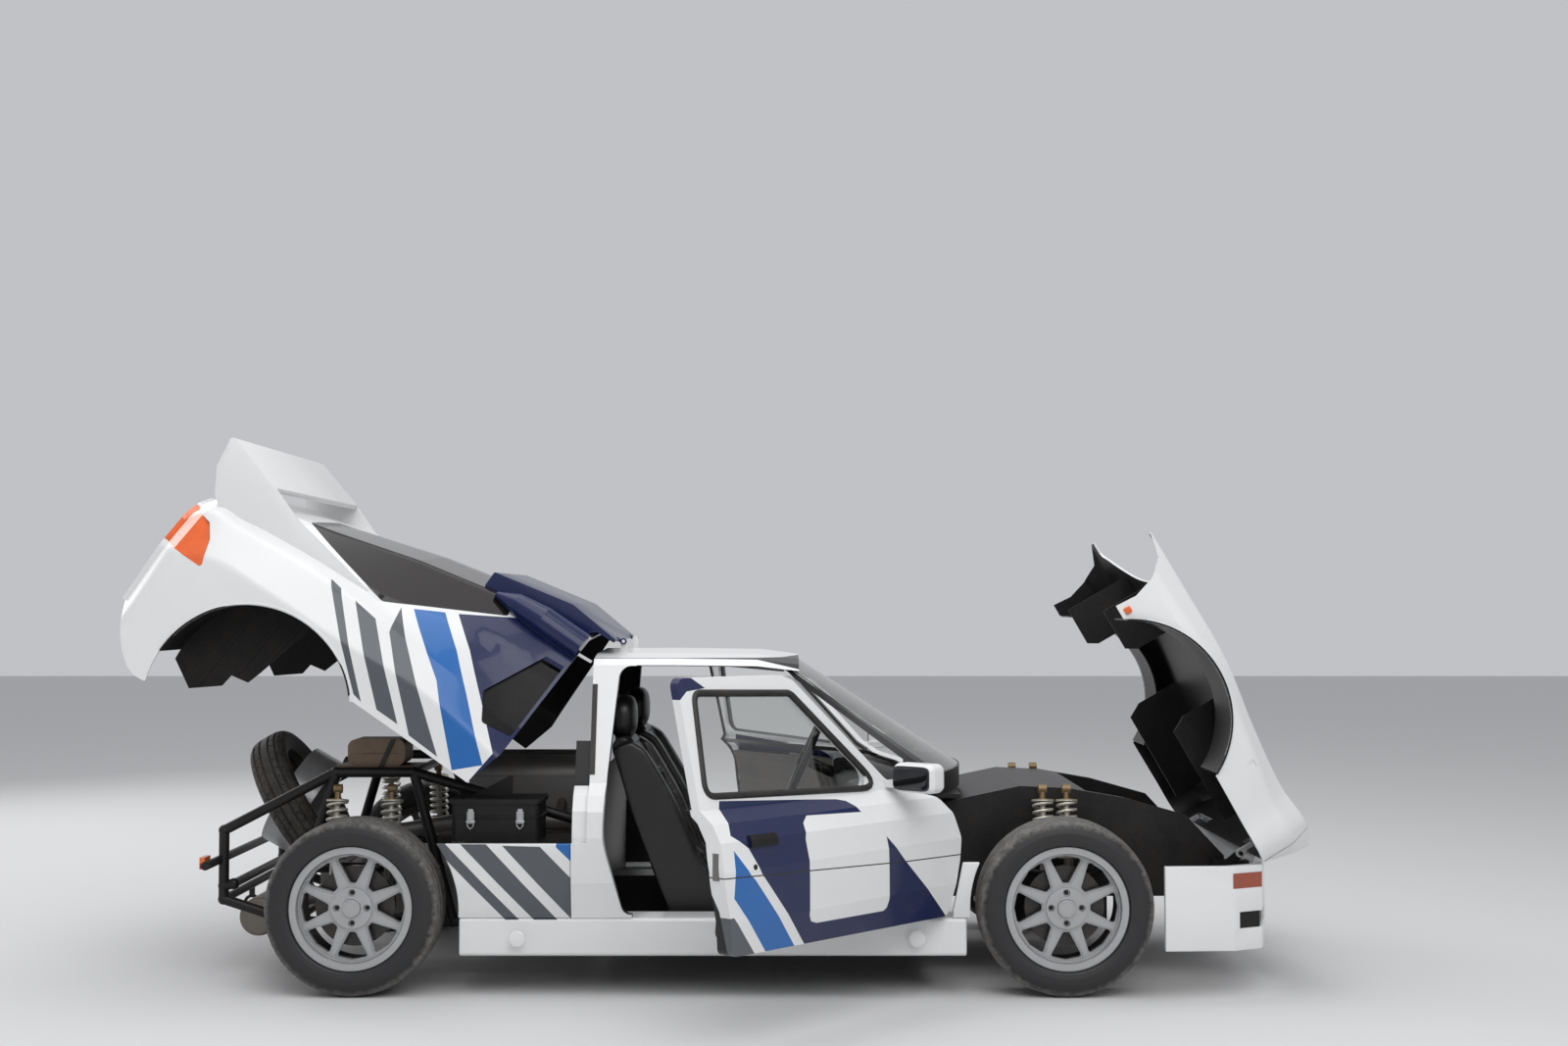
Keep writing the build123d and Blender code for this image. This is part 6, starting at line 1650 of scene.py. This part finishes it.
# %% Table of finishes
MATERIALS = {
    "front_paint": paint("front_paint", lid="front", dust=0.03),
    "rear_paint": paint("rear_paint", lid="rear", bands=REAR_BANDS, dust=0.04),
    "door_paint_right": lined_paint("door_paint_right", 0.042, -1, DOOR_BANDS),
    "door_paint_left": lined_paint("door_paint_left", 0.042, 1, DOOR_BANDS),
    "body_paint": paint("body_paint", bands=PANEL_BANDS, dust=0.05),
    "cabin_paint": lined_paint("cabin_paint", 0.024),
    "scoop_paint": paint("scoop_paint", lid="rear", base=NAVY, dust=0.02),
    "cheek_paint": paint("cheek_paint", lid="rear", base=NAVY, dust=0.02),
    "glass": glass("glass_screen", (0.50, 0.54, 0.47), dust=0.01, rough=0.0, specular=0.4),
    "door_glass": glass("glass_door", (0.96, 0.98, 0.97), dust=0.01, rough=0.0, specular=0.2),
    "tinted_glass": glass("glass_dark", (0.014, 0.011, 0.010), 0.10, lid="rear", dust=0.03, specular=0.3),
    "front_lip": paint("front_lip", lid="front", dust=0.03),
    "rear_lip": paint("rear_lip", lid="rear", bands=REAR_BANDS, dust=0.04),
    "liner_plastic": plain("liner_plastic", (0.010, 0.0095, 0.009), 0.6, dust=0.45, bump=0.4, bump_scale=60.0,
                           dust_colour=(0.04, 0.034, 0.03), specular=0.2),
    "gloss_black": plain("gloss_black", (0.005, 0.005, 0.006), 0.3, dust=0.03, bump=0.04, specular=0.15),
    "front_lamp": plain("front_lamp", (0.30, 0.045, 0.012), 0.12, dust=0.06, coat=0.8, bump=0.0),
    "chassis_lamp": split_material("chassis_lamp", 0.445, (0.45, 0.008, 0.006), (0.80, 0.14, 0.012), 0.14),
    "coil_over": split_material("coil_over", 0.668, (0.62, 0.60, 0.53), (0.20, 0.135, 0.06), 0.38, 0.55),
    "clear_lens": glass("lens_clear", (0.85, 0.87, 0.88), 0.9, 0.1, lid="front", rough=0.08),
    "black_plastic": plain("black_plastic", (0.008, 0.008, 0.009), 0.38, dust=0.04, specular=0.25),
    "black_steel": plain("black_steel", (0.008, 0.008, 0.009), 0.38, dust=0.05, bump=0.08, specular=0.3),
    "spring_steel": plain("spring_steel", (0.62, 0.60, 0.53), 0.4, dust=0.25, coat=0.3),
    "engine_metal": plain("engine_metal", (0.20, 0.20, 0.20), 0.45, 0.8, dust=0.35, bump=0.3,
                          bump_scale=120.0),
    "heat_shield_metal": plain("heat_shield_metal", (0.17, 0.12, 0.085), 0.5, 0.55, dust=0.6),
    "silencer_steel": plain("silencer_steel", (0.20, 0.19, 0.18), 0.5, 0.8, dust=0.7),
    "seat_leather": plain("seat_leather", (0.009, 0.009, 0.010), 0.36, dust=0.02, bump=0.35,
                          bump_scale=420.0),
    "door_card": plain("door_card", (0.05, 0.043, 0.038), 0.55, dust=0.25, bump=0.3, bump_scale=380.0),
    "amber_lens": plain("amber_lens", (0.80, 0.12, 0.012), 0.14, dust=0.08, coat=0.8, bump=0.0),
    "alloy": plain("alloy_paint", (0.42, 0.43, 0.44), 0.36, 0.35, dust=0.10, coat=0.3, bump=0.05),
    "wheel_rim": rim_material("wheel_rim"),
    "rubber": plain("rubber", (0.010, 0.010, 0.010), 0.55, dust=0.08),
    "mirror": plain("mirror_glass", (0.04, 0.045, 0.05), 0.04, 0.9, dust=0.04, bump=0.0, coat=0.5),
    "tyre_front": tyre_material("tyre_front", FRONT_AXLE),
    "tyre_rear": tyre_material("tyre_rear", REAR_AXLE),
    "tyre": plain("tyre_spare", (0.022, 0.021, 0.020), 0.65, dust=0.5, dust_colour=(0.20, 0.165, 0.13)),
}
print("finishes:", len(MATERIALS))

# %% [markdown]
# ## Dressing the car
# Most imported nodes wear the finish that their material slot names. `SPECIAL` lists those that need another,
# as the paint of a lid knows its hinge. A lid has two slots: paint outside, and black inside.

# %% Dressing the car
SPECIAL = {
    "front_clamshell_skin": "front_paint",
    "rear_clamshell_skin": "rear_paint",
    "rear_clamshell_spoiler": "rear_paint",
    "rear_clamshell_scoop": "scoop_paint",
    "rear_clamshell_cheeks": "cheek_paint",
    "rear_clamshell_intakes": "gloss_black",
    "front_lamps": "front_lamp",
    "chassis_lamps": "chassis_lamp",
    "coil_overs": "coil_over",
    "door_right_glass": "door_glass",
    "door_left_glass": "door_glass",
    "front_clamshell_repeaters": "front_paint",
    "rim_front_right": "wheel_rim",
    "rim_front_left": "wheel_rim",
    "rim_rear_right": "wheel_rim",
    "rim_rear_left": "wheel_rim",
    "door_right_shell": "door_paint_right",
    "door_left_shell": "door_paint_left",
    "cabin_shell": "cabin_paint",
    "white_paint": "body_paint",
}


def dress(obj, materials):
    """Put materials on an object's slots in order, the last one on all that are left."""
    if not obj.material_slots:
        obj.data.materials.append(materials[0])
    for number, slot in enumerate(obj.material_slots):
        slot.material = materials[min(number, len(materials) - 1)]


slots = {row["node"]: row["material_slot"] for row in frame["record"]["subparts"]}
for node_name, obj in frame["nodes"].items():
    slot_name = slots[node_name]
    dress(obj, [MATERIALS[SPECIAL.get(node_name, SPECIAL.get(slot_name, slot_name))]])
for obj, finish in DRESSES:
    names = (finish,) if isinstance(finish, str) else finish
    dress(obj, [MATERIALS[name] for name in names])
print("dressed:", len(frame["nodes"]) + len(DRESSES), "objects")

# %% [markdown]
# ## Floor
# A pale floor catches the car's shadow, which shows that it stands on the ground. It is part of the stage,
# not of the car.

# %% Floor
FLOOR_HALF = 30
corners = [(-FLOOR_HALF, -FLOOR_HALF, 0), (FLOOR_HALF, -FLOOR_HALF, 0), (FLOOR_HALF, FLOOR_HALF, 0),
           (-FLOOR_HALF, FLOOR_HALF, 0)]
floor = make_object("floor", make_mesh("floor", corners, [(0, 1, 2, 3)], 1.0))
floor_material, floor_tree, floor_shader = new_material("floor")
fill(floor_tree, floor_shader, {"Base Color": (0.62, 0.62, 0.62), "Roughness": 0.9})
dress(floor, [floor_material])
print("floor:", 2 * FLOOR_HALF, "m wide")

# %% [markdown]
# ## Lamps and sky
# Daylight under a covered sky gives soft shadows, and three large area lamps and an even sky stand in for
# it. Their power is low enough that white paint doesn't clip: the colours render as written.

# %% Lamps and sky
LAMPS = (
    ("key", (1.5, -6.5, 6.0), (0.0, 0.0, 0.6), 6.0, 290.0),
    ("overhead", (-1.0, -0.5, 7.5), (0.0, 0.0, 0.5), 7.0, 260.0),
    ("back", (-5.5, 5.0, 4.5), (0.0, 0.0, 0.8), 5.0, 150.0),
)
for lamp_name, place, aim, size, power in LAMPS:
    data = bpy.data.lights.new(lamp_name, "AREA")
    data.energy = power
    data.size = size
    lamp = make_object(lamp_name, data)
    lamp.location = place
    lamp.rotation_euler = (Vector(aim) - Vector(place)).to_track_quat("-Z", "Y").to_euler()

world = bpy.data.worlds.new("studio")
bpy.context.scene.world = world
world.use_nodes = True
background = world.node_tree.nodes["Background"]
fill(world.node_tree, background, {"Color": (0.95, 0.96, 1.0), "Strength": 0.56})
print("lamps:", len(LAMPS))

# %% [markdown]
# ## Camera and finish
# The camera looks square at the car's right side from chest height, tipped up a little, as in the photograph.

# %% Camera and finish
camera_data = bpy.data.cameras.new("camera")
camera_data.lens = 46.8
camera_data.sensor_width = 36.0
camera = make_object("camera", camera_data)
camera.location = (0.210, -8.083, 1.398)
camera.rotation_euler = (math.radians(90 + 2.19), 0, 0)
bpy.context.scene.camera = camera
bpy.context.scene.view_settings.view_transform = "Standard"
